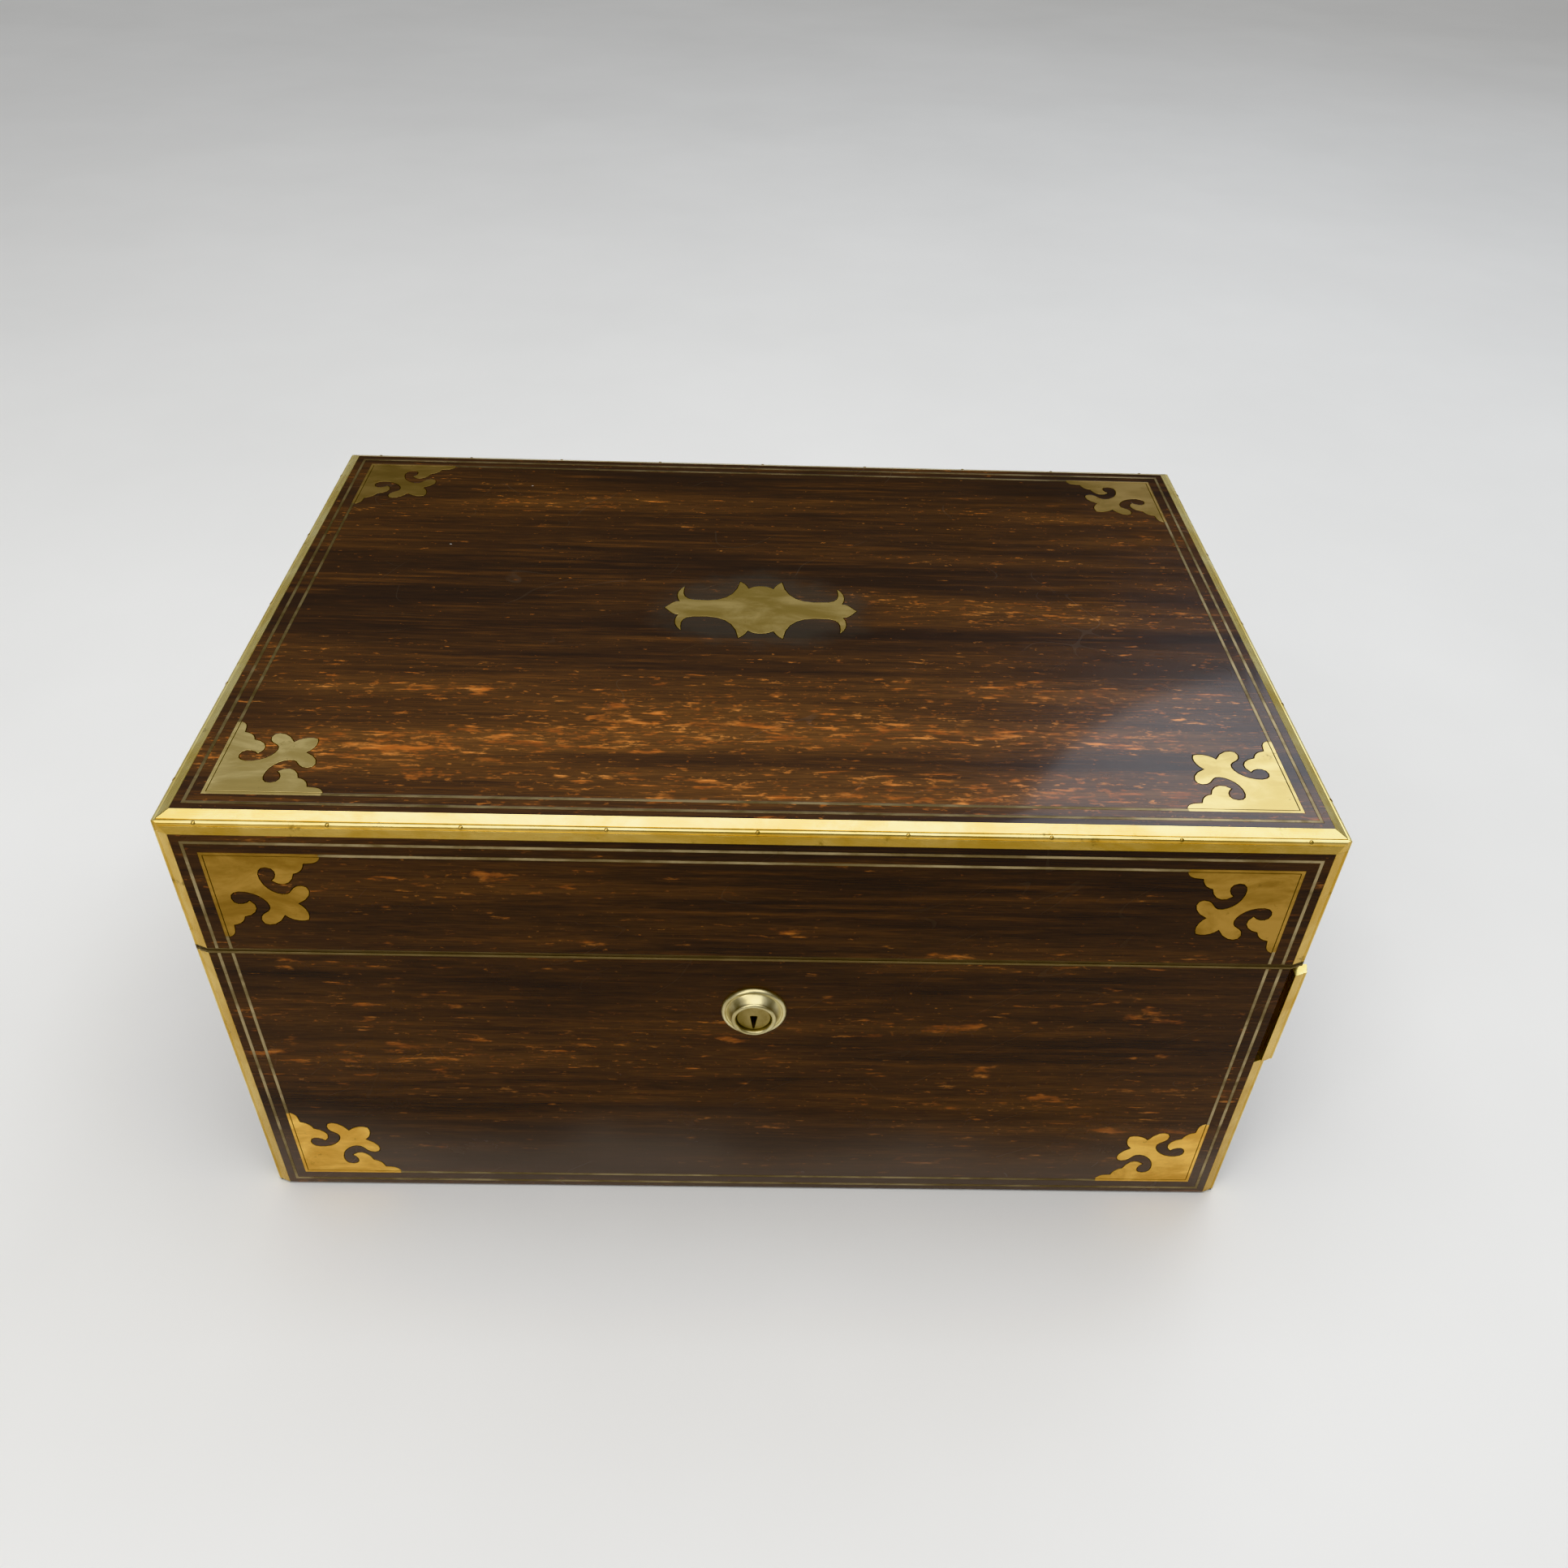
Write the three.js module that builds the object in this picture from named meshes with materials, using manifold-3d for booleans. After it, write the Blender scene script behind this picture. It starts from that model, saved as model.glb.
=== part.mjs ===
// An antique jewelry casket: a mahogany case faced with dark streaked veneer, bound along its
// edges in moulded brass, with pierced brass corner plates, a cartouche and double stringing
// lines let in flush, a cylinder lock, stopped hinges, a fitted tray and a padded lid.
// Millimetres, +Z up, the front faces -Y, the origin lies under the middle of the bottom.

import * as THREE from 'three';
import { mergeVertices } from 'three/addons/utils/BufferGeometryUtils.js';
import Module from 'manifold-3d';

const wasm = await Module();
wasm.setup();

// The case
const caseWidth = 340;
const caseDepth = 232;
const seamHeight = 120.5;
const heightAboveSeam = 52;
const seamGap = 0.3;
const boardThickness = 9;
const bottomThickness = 8;
const veneerThickness = 1.2;
const rimThickness = 0.9;
const feltThickness = 0.8;
const feltInset = 1.5;

// The moulded brass edging: its section runs from the face's field, over a sloping band,
// a bead between two quirks and a second band, to the next face. Shares of its width.
const edgingWidth = 5.2;
const edgingShares = [[1, 0], [0.39, 0.24], [0.14, 0.5], [0, 1]];
const quirkWidth = 0.36;
const quirkDepth = 0.3;
const beadRise = 0.42;
const beadSteps = 5;
const mitreGap = 0.3;

// The strip that has sprung away from the front right corner and slipped below the seam
const sprungFoot = 75;
const sprungDrop = 3;
const sprungOut = 2.3;
const sprungGap = 0.3;

// The inlay lines and plates; insets are from the faces of the case to each line's outer edge
const stringingWidth = 1;
const stringingDepth = 0.7;
const outerStringingInset = 7.7;
const innerStringingInset = 11.9;
const lowerStringingHeight = 2.8;
const inlayGap = 0.2;
const curveSteps = 5;

// Half of a corner plate, from the end of its arm to its tip on the diagonal, in shares of
// its arm. A row of one point is a straight line, of two a quadratic, of three a cubic curve.
// Its arm leaves a clearance above the lid's rim.
const plateClearance = 5.05;
const plateHalfShares = [
  [[0.982, 0.097], [0.906, 0.103]],
  [[0.85, 0.109]],
  [[0.832, 0.206], [0.744, 0.226]],
  [[0.724, 0.335], [0.624, 0.394], [0.55, 0.309]],
  [[0.6, 0.276], [0.626, 0.165], [0.529, 0.156]],
  [[0.447, 0.15], [0.421, 0.25], [0.465, 0.353]],
  [[0.5, 0.429], [0.582, 0.488], [0.647, 0.465]],
  [[0.7, 0.444], [0.694, 0.365], [0.785, 0.365]],
  [[0.871, 0.368], [0.862, 0.509], [0.718, 0.576]],
  [[0.774, 0.618], [0.803, 0.706], [0.771, 0.771]],
];

// A quarter of the cartouche, from the middle of its upper edge to its point, in shares of
// half its length
const cartoucheHalfLength = 33.3;
const cartoucheStartShares = [0, 0.459];
const cartoucheQuarterShares = [
  [[0.078, 0.462], [0.132, 0.405]],
  [[0.159, 0.499], [0.225, 0.547]],
  [[0.249, 0.285], [0.378, 0.159], [0.556, 0.156]],
  [[0.706, 0.162]],
  [[0.829, 0.18], [0.829, 0.3], [0.811, 0.426]],
  [[0.889, 0.345], [0.898, 0.225], [0.85, 0.126]],
  [[0.919, 0.129], [0.931, 0.078], [1, 0]],
];

// The lock's axis runs front to back, below the seam; its rose ends in a nozzle
const lockBelowSeam = 23.6;
const roseRadius = 10.35;
const nozzleRadius = 7.15;
const nozzleBore = 5.65;
const nozzleLength = 4.4;
const nozzleLipSteps = 6;
const nozzleHoleGap = 0.3;

// The rose's outline: share of the way out from the nozzle to the edge, then share of the
// nozzle's length
const roseProfileShares = [
  [1, 0], [1, 0.06], [0.97, 0.16], [0.9, 0.25], [0.78, 0.3], [0.64, 0.28], [0.54, 0.2],
  [0.46, 0.2], [0.36, 0.29], [0.22, 0.46], [0.1, 0.63], [0, 0.78],
];

// The plug and its wedge keyhole
const plugRadius = 5.4;
const plugRecess = 1.2;
const plugCrown = 0.25;
const keyholeTop = 1.3;
const keyholeFoot = 4.9;
const keyholeTopWidth = 2.4;
const keyholeFootWidth = 0.5;
const keyholeDepth = 6;
const keyholeRoundShare = 0.7;

// The lock's case, bolt and cam
const lockWidth = 48;
const lockDrop = 38;
const lockDepth = 7;
const lockSheet = 1.2;
const lockGap = 0.3;
const selvedgeWidth = 58;
const selvedgeDepth = 8;
const selvedgeThickness = 1.5;
const boltTravel = 4.2;
const boltThickness = 1.6;
const boltBarHeight = 4;
const boltBarLift = 7.6;
const boltArmWidth = 2.4;
const boltFingerLength = 4;
const boltFingerHeight = 1.8;
const boltFingerLift = 14.8;
const boltFingerGap = 0.6;
const forkWidth = 6;
const camPinRadius = 1.1;
const camPinLength = 2.9;
const camPinPlay = 0.4;
const guideLength = 9;
const guideHeight = 2;

// The link plate under the lid's front rim and its two staples, which the bolt passes through
const linkWidth = 52;
const linkThickness = 1.8;
const stapleSpread = 12;
const stapleWidth = 2.4;
const stapleDepth = 3.8;
const stapleSkin = 1;
const stapleSlotPlay = 0.5;

// The stopped hinges
const hingeInset = 70;
const hingeLength = 42;
const leafWidth = 9;
const leafThickness = 1.6;
const knuckleRadius = 2.2;
const knuckleCount = 5;
const knuckleGap = 0.3;
const hingePinRadius = 1;
const hingePinPlay = 0.25;
const hingePinHead = 0.5;
const stopRadius = 3.9;
const openingAngle = 100;
const lidStopStart = 60;
const lidStopEnd = 90;
const stopPlayAngle = 3.5;

// The fittings inside
const ledgeThickness = 4;
const trayHeight = 38;
const trayBelowRim = 4.35;
const trayGap = 0.6;
const trayWall = 3;
const trayFloor = 3;
const cellCorner = 3;
const sideCellWidth = 74;
const cushionCellDepth = 68;
const cushionHeight = 25;
const cushionValley = 9;
const cushionRolls = 6;
const cushionEndShare = 0.35;
const liningWidth = 12;
const liningThickness = 5;
const padGap = 0.5;
const padEdge = 4;
const padCrown = 4.5;
const padTuftDepth = 3;
const padTuftRadius = 11;
const padTuftColumns = 5;
const padTuftRows = 3;
const softGap = 0.3;
const cushionGap = cellCorner * (1 - Math.SQRT1_2) + softGap;

// How far a cut runs past what it cuts, and how finely round pieces are divided
const overrun = 5;
const roseSegments = 40;
const plugSegments = 32;
const knuckleSegments = 16;
const pinSegments = 12;
const cornerSegments = 3;

// Planes that many pieces share
const caseHeight = seamHeight + heightAboveSeam;
const halfWidth = caseWidth / 2;
const halfDepth = caseDepth / 2;
const wallThickness = boardThickness + veneerThickness;
const innerHalfWidth = halfWidth - wallThickness;
const innerHalfDepth = halfDepth - wallThickness;
const fieldHalfWidth = halfWidth - edgingWidth;
const fieldHalfDepth = halfDepth - edgingWidth;
const baseRimTop = seamHeight - seamGap / 2;
const baseRimBottom = baseRimTop - rimThickness;
const lidRimBottom = seamHeight + seamGap / 2;
const lidRimTop = lidRimBottom + rimThickness;
const lidCeiling = caseHeight - wallThickness;
const fieldTop = caseHeight - edgingWidth;
const floorTop = feltThickness + bottomThickness;
const trayBottom = baseRimTop - trayBelowRim - trayHeight;
const lockHeight = seamHeight - lockBelowSeam;
const wholeHeight = [-overrun, caseHeight + overrun];

// Frames that stand an outline up: its own x, y and the way it is drawn out
const upright = new THREE.Matrix4();
const axisX = new THREE.Vector3(1, 0, 0);
const axisY = new THREE.Vector3(0, 1, 0);
const axisZ = new THREE.Vector3(0, 0, 1);
const facingFront = new THREE.Matrix4().makeBasis(axisX, axisZ, axisY.clone().negate());
const alongX = new THREE.Matrix4().makeBasis(axisY, axisZ, axisX);

// Solids and their joins

function solidOf(geometry) {
  const bare = geometry.clone();
  bare.deleteAttribute('normal');
  bare.deleteAttribute('uv');
  const merged = mergeVertices(bare);
  const vertProperties = new Float32Array(merged.attributes.position.array);
  const triVerts = new Uint32Array(merged.index.array);
  return new wasm.Manifold(new wasm.Mesh({ numProp: 3, vertProperties, triVerts }));
}

function geometryOf(solid) {
  const mesh = solid.getMesh();
  const geometry = new THREE.BufferGeometry();
  geometry.setAttribute('position', new THREE.BufferAttribute(mesh.vertProperties, 3));
  geometry.setIndex(new THREE.BufferAttribute(mesh.triVerts, 1));
  return geometry;
}

function joined(...solids) {
  return solids.reduce((whole, solid) => whole.add(solid));
}

function cut(solid, ...tools) {
  return tools.reduce((rest, tool) => rest.subtract(tool), solid);
}

// A block between two corners, each axis given as its low and high end
function block(x, y, z) {
  const geometry = new THREE.BoxGeometry(1, 1, 1);
  const corners = geometry.attributes.position;
  for (let i = 0; i < corners.count; i += 1) {
    const high = [corners.getX(i) > 0, corners.getY(i) > 0, corners.getZ(i) > 0].map(Number);
    corners.setXYZ(i, x[high[0]], y[high[1]], z[high[2]]);
  }
  return solidOf(geometry);
}

function mirroredSpan(half) {
  return [-half, half];
}

// An outline drawn out between two distances along a frame's third axis
function drawnOut(points, span, frame) {
  const shape = new THREE.Shape(points);
  const geometry = new THREE.ExtrudeGeometry(shape, { depth: 1, bevelEnabled: false });
  const places = geometry.attributes.position;
  for (let i = 0; i < places.count; i += 1) {
    places.setZ(i, span[Number(places.getZ(i) > 0)]);
  }
  geometry.applyMatrix4(frame);
  return solidOf(geometry);
}

// A profile of radius and height turned round the lock's axis, heights standing out to the front
function turned(profile, segments) {
  const points = profile.map(([radius, height]) => new THREE.Vector2(radius, height));
  const geometry = new THREE.LatheGeometry(points, segments);
  geometry.rotateX(Math.PI);
  return solidOf(geometry);
}

// A round bar along X
function barAlongX(radius, x, y, z, segments) {
  const geometry = new THREE.CylinderGeometry(radius, radius, x[1] - x[0], segments);
  geometry.rotateZ(Math.PI / 2);
  geometry.translate((x[0] + x[1]) / 2, y, z);
  return solidOf(geometry);
}

// Outlines

function curvePoints(start, rowShares, size) {
  const path = new THREE.Path();
  path.moveTo(start[0], start[1]);
  rowShares.forEach((row) => {
    const numbers = row.flat().map((share) => share * size);
    if (row.length === 1) path.lineTo(...numbers);
    if (row.length === 2) path.quadraticCurveTo(...numbers);
    if (row.length === 3) path.bezierCurveTo(...numbers);
  });
  return path.getPoints(curveSteps);
}

const lidPlateCorner = caseHeight - innerStringingInset;
const plateArm = lidPlateCorner - lidRimTop - plateClearance;

// The plate's two outer edges lie a little inside its corner, along the inner stringing line
function cornerPlateOutline(edge) {
  const half = curvePoints([plateArm, edge], plateHalfShares, plateArm);
  const otherHalf = half.slice(0, -1).reverse().map((point) => new THREE.Vector2(point.y, point.x));
  return [new THREE.Vector2(edge, edge), ...half, ...otherHalf];
}

function cartoucheOutline() {
  const start = cartoucheStartShares.map((share) => share * cartoucheHalfLength);
  const quarter = curvePoints(start, cartoucheQuarterShares, cartoucheHalfLength);
  const below = quarter.slice(0, -1).reverse().map((point) => new THREE.Vector2(point.x, -point.y));
  const right = [...quarter, ...below];
  const left = right.slice(1, -1).reverse().map((point) => new THREE.Vector2(-point.x, point.y));
  return [...right, ...left].reverse();
}

// An outline that runs counterclockwise, moved outward by a gap
function grown(points, gap) {
  return points.map((point, i) => {
    const before = points[(i + points.length - 1) % points.length];
    const after = points[(i + 1) % points.length];
    const inward = point.clone().sub(before).normalize();
    const onward = after.clone().sub(point).normalize();
    const out = new THREE.Vector2(inward.y + onward.y, -inward.x - onward.x);
    const lengthSquared = Math.max(out.lengthSq(), 1);
    return point.clone().addScaledVector(out, (2 * gap) / lengthSquared);
  });
}

// An outline carried to a corner: its arms run from the corner in the given directions
function placed(points, corner, directions) {
  return points.map((point) => new THREE.Vector2(
    corner[0] + directions[0] * point.x,
    corner[1] + directions[1] * point.y,
  ));
}

function roundedRectangle(x, y, radius) {
  const shape = new THREE.Shape();
  const quarter = Math.PI / 2;
  const centres = [[1, 1], [0, 1], [0, 0], [1, 0]];
  centres.forEach(([right, top], i) => {
    const centreX = x[right] + (right ? -radius : radius);
    const centreY = y[top] + (top ? -radius : radius);
    shape.absarc(centreX, centreY, radius, i * quarter, (i + 1) * quarter, false);
  });
  return shape.getPoints(cornerSegments);
}

// The edging's section: distance in from the first face, then from the second
function edgingSection() {
  const [field, firstBreak, secondBreak, foot] = edgingShares.map(
    ([first, second]) => new THREE.Vector2(first, second).multiplyScalar(edgingWidth),
  );
  const across = secondBreak.clone().sub(firstBreak).normalize();
  const outward = new THREE.Vector2(-across.y, across.x);
  const towards = (from, to) => to.clone().sub(from).setLength(quirkWidth / 2).add(from);
  const sunk = (point) => point.clone().addScaledVector(outward, -quirkDepth);
  const beadStart = towards(firstBreak, secondBreak);
  const beadEnd = towards(secondBreak, firstBreak);
  const bead = [];
  for (let i = 0; i <= beadSteps; i += 1) {
    const share = i / beadSteps;
    const rise = beadRise * Math.sin(Math.PI * share);
    bead.push(beadStart.clone().lerp(beadEnd, share).addScaledVector(outward, rise));
  }
  return [
    field, towards(firstBreak, field), sunk(firstBreak), ...bead,
    sunk(secondBreak), towards(secondBreak, foot), foot,
  ];
}

const section = edgingSection();

// The plan of the whole case, with the moulded section round each upright corner
function planOutline() {
  const corner = (sideX, sideY) => section.map((point) => new THREE.Vector2(
    sideX * (halfWidth - point.x),
    sideY * (halfDepth - point.y),
  ));
  return [
    ...corner(1, -1), ...corner(1, 1).reverse(), ...corner(-1, 1), ...corner(-1, -1).reverse(),
  ];
}

const planPrism = drawnOut(planOutline(), wholeHeight, upright);

// Square posts at the four corners, where the upright edging is let in
function cornerPosts() {
  const posts = [];
  [-1, 1].forEach((sideX) => [-1, 1].forEach((sideY) => {
    const x = [sideX * fieldHalfWidth, sideX * (halfWidth + overrun)].sort((a, b) => a - b);
    const y = [sideY * fieldHalfDepth, sideY * (halfDepth + overrun)].sort((a, b) => a - b);
    posts.push(block(x, y, wholeHeight));
  }));
  return joined(...posts);
}

const posts = cornerPosts();

// Where the hinges sit
const hingeAxisY = halfDepth + knuckleGap + knuckleRadius;
const baseLeafBottom = baseRimTop - leafThickness;
const lidLeafTop = lidRimBottom + leafThickness;
const hingeSpread = halfWidth - hingeInset;
const hingeCentres = { left: -hingeSpread, right: hingeSpread };

function leafRecess(centre, z) {
  const x = [centre - hingeLength / 2, centre + hingeLength / 2];
  return block(x, [halfDepth - leafWidth, halfDepth + overrun], z);
}

const baseLeafRecesses = joined(
  ...Object.values(hingeCentres).map((centre) => leafRecess(centre, [baseLeafBottom, seamHeight])),
);
const lidLeafRecesses = joined(
  ...Object.values(hingeCentres).map((centre) => leafRecess(centre, [seamHeight, lidLeafTop])),
);

// Where the lock sits: the case is let into the back of the front board
const lockFront = -innerHalfDepth - lockDepth;
const lockMiddle = -innerHalfDepth - lockDepth / 2;
const selvedgeFront = -innerHalfDepth - selvedgeDepth;
const selvedgeBottom = baseRimTop - selvedgeThickness;
const lockBottom = baseRimTop - lockDrop;
const selvedgeX = mirroredSpan(selvedgeWidth / 2);
const selvedgeY = [selvedgeFront, -innerHalfDepth];
const linkX = mirroredSpan(linkWidth / 2);
const linkTop = lidRimBottom + linkThickness;

function lockPocket() {
  const mortise = block(
    mirroredSpan(lockWidth / 2 + lockGap),
    [lockFront, -innerHalfDepth + overrun],
    [lockBottom - lockGap, seamHeight],
  );
  const step = block(selvedgeX, [selvedgeFront, -innerHalfDepth + overrun], [selvedgeBottom, seamHeight]);
  return mortise.add(step);
}

function lockHole() {
  const radius = nozzleRadius + nozzleHoleGap;
  const geometry = new THREE.CylinderGeometry(radius, radius, wallThickness * 2, roseSegments);
  geometry.translate(0, -halfDepth, lockHeight);
  return solidOf(geometry);
}

const linkRecess = block(linkX, [selvedgeFront, -innerHalfDepth + overrun], [seamHeight, linkTop]);

// Wooden boards. The front and back run the whole width and the sides stand between them;
// the back's and the sides' veneer is laid on their own boards.

const boardX = mirroredSpan(halfWidth - veneerThickness);
const baseHeight = [feltThickness, baseRimBottom];
const lidHeight = [lidRimTop, lidCeiling];
const lidVeneerHeight = [lidRimTop, fieldTop];

function frontBoard(height) {
  return cut(block(boardX, [-halfDepth + veneerThickness, -innerHalfDepth], height), posts);
}

function backBoard(height, veneerHeight) {
  const board = block(boardX, [innerHalfDepth, halfDepth - veneerThickness], height);
  const veneer = block(
    mirroredSpan(fieldHalfWidth),
    [halfDepth - veneerThickness, halfDepth],
    veneerHeight,
  );
  return cut(board, posts).add(veneer);
}

function sideBoard(side, height, veneerHeight) {
  const ordered = (inner, outer) => [side * inner, side * outer].sort((a, b) => a - b);
  const board = block(
    ordered(innerHalfWidth, halfWidth - veneerThickness),
    mirroredSpan(innerHalfDepth),
    height,
  );
  const veneer = block(
    ordered(halfWidth - veneerThickness, halfWidth),
    mirroredSpan(fieldHalfDepth),
    veneerHeight,
  );
  return board.add(veneer);
}

function lidTopBoard() {
  const lower = block(
    boardX,
    mirroredSpan(halfDepth - veneerThickness),
    [lidCeiling, fieldTop],
  );
  const upper = block(
    mirroredSpan(fieldHalfWidth),
    mirroredSpan(fieldHalfDepth),
    [fieldTop, caseHeight - veneerThickness],
  );
  return cut(lower, posts).add(upper);
}

function bottomBoard() {
  return block(
    mirroredSpan(innerHalfWidth),
    mirroredSpan(innerHalfDepth),
    [feltThickness, floorTop],
  );
}

function felt() {
  return block(
    mirroredSpan(halfWidth - feltInset),
    mirroredSpan(halfDepth - feltInset),
    [0, feltThickness],
  );
}

// Brass strips that face the meeting rims
function rim(height, ...recesses) {
  const ring = planPrism.intersect(block(
    mirroredSpan(halfWidth + overrun),
    mirroredSpan(halfDepth + overrun),
    height,
  ));
  const mouth = block(mirroredSpan(innerHalfWidth), mirroredSpan(innerHalfDepth), wholeHeight);
  return cut(ring, mouth, ...recesses);
}

// Brass edging

function topEdging(runsAlongX, side) {
  const half = runsAlongX ? halfDepth : halfWidth;
  const reach = runsAlongX ? halfWidth : halfDepth;
  const outline = section.map((point) => new THREE.Vector2(
    side * (half - point.x),
    caseHeight - point.y,
  ));
  outline.push(new THREE.Vector2(side * (half - edgingWidth), fieldTop));
  const strip = drawnOut(outline, mirroredSpan(reach), runsAlongX ? alongX : facingFront);
  const mitreEnds = [half + overrun, half - edgingWidth - overrun].map((away) => (
    { away: side * away, end: reach - mitreGap / 2 - half + away }
  ));
  const mitre = [
    [-mitreEnds[0].end, mitreEnds[0].away], [mitreEnds[0].end, mitreEnds[0].away],
    [mitreEnds[1].end, mitreEnds[1].away], [-mitreEnds[1].end, mitreEnds[1].away],
  ].map(([along, across]) => (
    runsAlongX ? new THREE.Vector2(along, across) : new THREE.Vector2(across, along)
  ));
  return strip.intersect(drawnOut(mitre, wholeHeight, upright)).intersect(planPrism);
}

function cornerEdging(sideX, sideY, height, shift = 0) {
  const outline = section.map((point) => new THREE.Vector2(
    sideX * (halfWidth - point.x) + shift,
    sideY * (halfDepth - point.y),
  ));
  outline.push(new THREE.Vector2(sideX * fieldHalfWidth + shift, sideY * fieldHalfDepth));
  return drawnOut(outline, height, upright);
}

// Inlay. Each face has two lines; those of the front run on from the lid to the base.

const lineBreadth = innerStringingInset - outerStringingInset;

function topLine(inset) {
  const height = [caseHeight - stringingDepth, caseHeight];
  const outside = block(mirroredSpan(halfWidth - inset), mirroredSpan(halfDepth - inset), height);
  const inside = block(
    mirroredSpan(halfWidth - inset - stringingWidth),
    mirroredSpan(halfDepth - inset - stringingWidth),
    wholeHeight,
  );
  return cut(outside, inside);
}

function frontLine(inset, height) {
  const foot = lowerStringingHeight + inset - outerStringingInset;
  const top = caseHeight - inset;
  const y = [-halfDepth, -halfDepth + stringingDepth];
  const outside = block(
    mirroredSpan(halfWidth - inset),
    y,
    [Math.max(foot, height[0]), Math.min(top, height[1])],
  );
  const inside = block(
    mirroredSpan(halfWidth - inset - stringingWidth),
    [-halfDepth - overrun, -halfDepth + overrun],
    [foot + stringingWidth, top - stringingWidth],
  );
  return cut(outside, inside);
}

const plateOutline = cornerPlateOutline(stringingWidth + inlayGap);
const pocketOutline = grown(cornerPlateOutline(stringingWidth / 2 + inlayGap), inlayGap);
const plateReachX = halfWidth - innerStringingInset;
const plateReachY = halfDepth - innerStringingInset;
const basePlateCorner = lowerStringingHeight + lineBreadth;

const topSpan = [caseHeight - veneerThickness, caseHeight];
const topCutSpan = [caseHeight - veneerThickness - overrun, caseHeight + overrun];
const frontSpan = [halfDepth - veneerThickness, halfDepth];
const frontCutSpan = [halfDepth - veneerThickness - overrun, halfDepth + overrun];

function topPlate(outline, sideX, sideY, span) {
  const points = placed(outline, [sideX * plateReachX, sideY * plateReachY], [-sideX, -sideY]);
  return drawnOut(points, span, upright);
}

function frontPlate(outline, sideX, height, rise, span) {
  const points = placed(outline, [sideX * plateReachX, height], [-sideX, rise]);
  return drawnOut(points, span, facingFront);
}

function lidTopVeneer() {
  const pockets = [];
  [-1, 1].forEach((sideX) => [-1, 1].forEach((sideY) => {
    pockets.push(topPlate(pocketOutline, sideX, sideY, topCutSpan));
  }));
  const middle = drawnOut(grown(cartoucheOutline(), inlayGap), topCutSpan, upright);
  const sheet = block(mirroredSpan(fieldHalfWidth), mirroredSpan(fieldHalfDepth), topSpan);
  return cut(
    sheet, topLine(outerStringingInset), topLine(innerStringingInset), ...pockets, middle,
  );
}

function frontVeneer(height, plateHeight, rise) {
  const sheet = block(
    mirroredSpan(fieldHalfWidth),
    [-halfDepth, -halfDepth + veneerThickness],
    height,
  );
  const pockets = [-1, 1].map(
    (sideX) => frontPlate(pocketOutline, sideX, plateHeight, rise, frontCutSpan),
  );
  return cut(
    sheet, frontLine(outerStringingInset, height), frontLine(innerStringingInset, height),
    ...pockets,
  );
}

// The lock

function lockRose() {
  const tail = lockFront + halfDepth;
  const outside = roseProfileShares.map(([across, up]) => [
    THREE.MathUtils.lerp(nozzleRadius, roseRadius, across), up * nozzleLength,
  ]);
  const lipRadius = (nozzleRadius - nozzleBore) / 2;
  const lip = [];
  for (let i = 0; i <= nozzleLipSteps; i += 1) {
    const angle = (Math.PI * i) / nozzleLipSteps;
    lip.push([
      nozzleBore + lipRadius * (1 + Math.cos(angle)),
      nozzleLength - lipRadius * (1 - Math.sin(angle)),
    ]);
  }
  return turned([
    [nozzleBore, -tail],
    [nozzleRadius, -tail],
    [nozzleRadius, 0],
    ...outside,
    ...lip,
    [nozzleBore, -tail],
  ], roseSegments);
}

// The cam pin stands at half a right angle to the left of upright when the lock is open
const camRadius = boltTravel / Math.SQRT2;
const camStart = boltTravel / 2;
const plugTail = lockMiddle - boltThickness / 2 - camPinPlay + halfDepth;

function lockPlug() {
  const face = nozzleLength - plugRecess;
  const body = turned([
    [0, -plugTail],
    [plugRadius, -plugTail],
    [plugRadius, face - plugCrown],
    [plugRadius - plugCrown, face],
    [plugRadius / 2, face + plugCrown / 2],
    [0, face + plugCrown],
  ], plugSegments);
  const pin = new THREE.CylinderGeometry(
    camPinRadius, camPinRadius, camPinLength * 2, pinSegments,
  );
  pin.translate(-camStart, plugTail, camStart);
  const halfTop = keyholeTopWidth / 2;
  const halfFoot = keyholeFootWidth / 2;
  const roundTop = halfTop * keyholeRoundShare;
  const shoulder = keyholeTop - halfTop + roundTop;
  const keyhole = [
    [-halfTop, shoulder], [-roundTop, keyholeTop], [roundTop, keyholeTop],
    [halfTop, shoulder], [halfFoot, -keyholeFoot], [-halfFoot, -keyholeFoot],
  ].map(([x, z]) => new THREE.Vector2(x, z));
  const keyway = drawnOut(keyhole, [face - keyholeDepth, face + overrun], facingFront);
  return cut(body.add(solidOf(pin)), keyway);
}

// The bolt's levels, measured up from the lock's axis
const barBottom = lockHeight + boltBarLift;
const barTop = barBottom + boltBarHeight;
const fingerBottom = lockHeight + boltFingerLift;
const fingerTop = fingerBottom + boltFingerHeight;
const fingerTip = -stapleWidth / 2 - boltFingerGap;
const armRight = fingerTip - boltFingerLength;
const armLeft = armRight - boltArmWidth;
const boltY = [lockMiddle - boltThickness / 2, lockMiddle + boltThickness / 2];
const stapleCentres = [-stapleSpread, stapleSpread];

function lockBolt() {
  const bar = block([-stapleSpread + armLeft, stapleSpread], boltY, [barBottom, barTop]);
  const hooks = stapleCentres.map((centre) => joined(
    block([centre + armLeft, centre + armRight], boltY, [barBottom, fingerTop]),
    block([centre + armLeft, centre + fingerTip], boltY, [fingerBottom, fingerTop]),
  ));
  const slotHalf = camPinRadius + camPinPlay;
  const fork = block(
    [-camStart - forkWidth / 2, -camStart + forkWidth / 2],
    boltY,
    [lockHeight, barTop],
  );
  const slot = block(
    [-camStart - slotHalf, -camStart + slotHalf],
    [boltY[0] - overrun, boltY[1] + overrun],
    [lockHeight - overrun, lockHeight + camRadius + slotHalf],
  );
  return joined(bar, ...hooks).add(cut(fork, slot));
}

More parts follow.
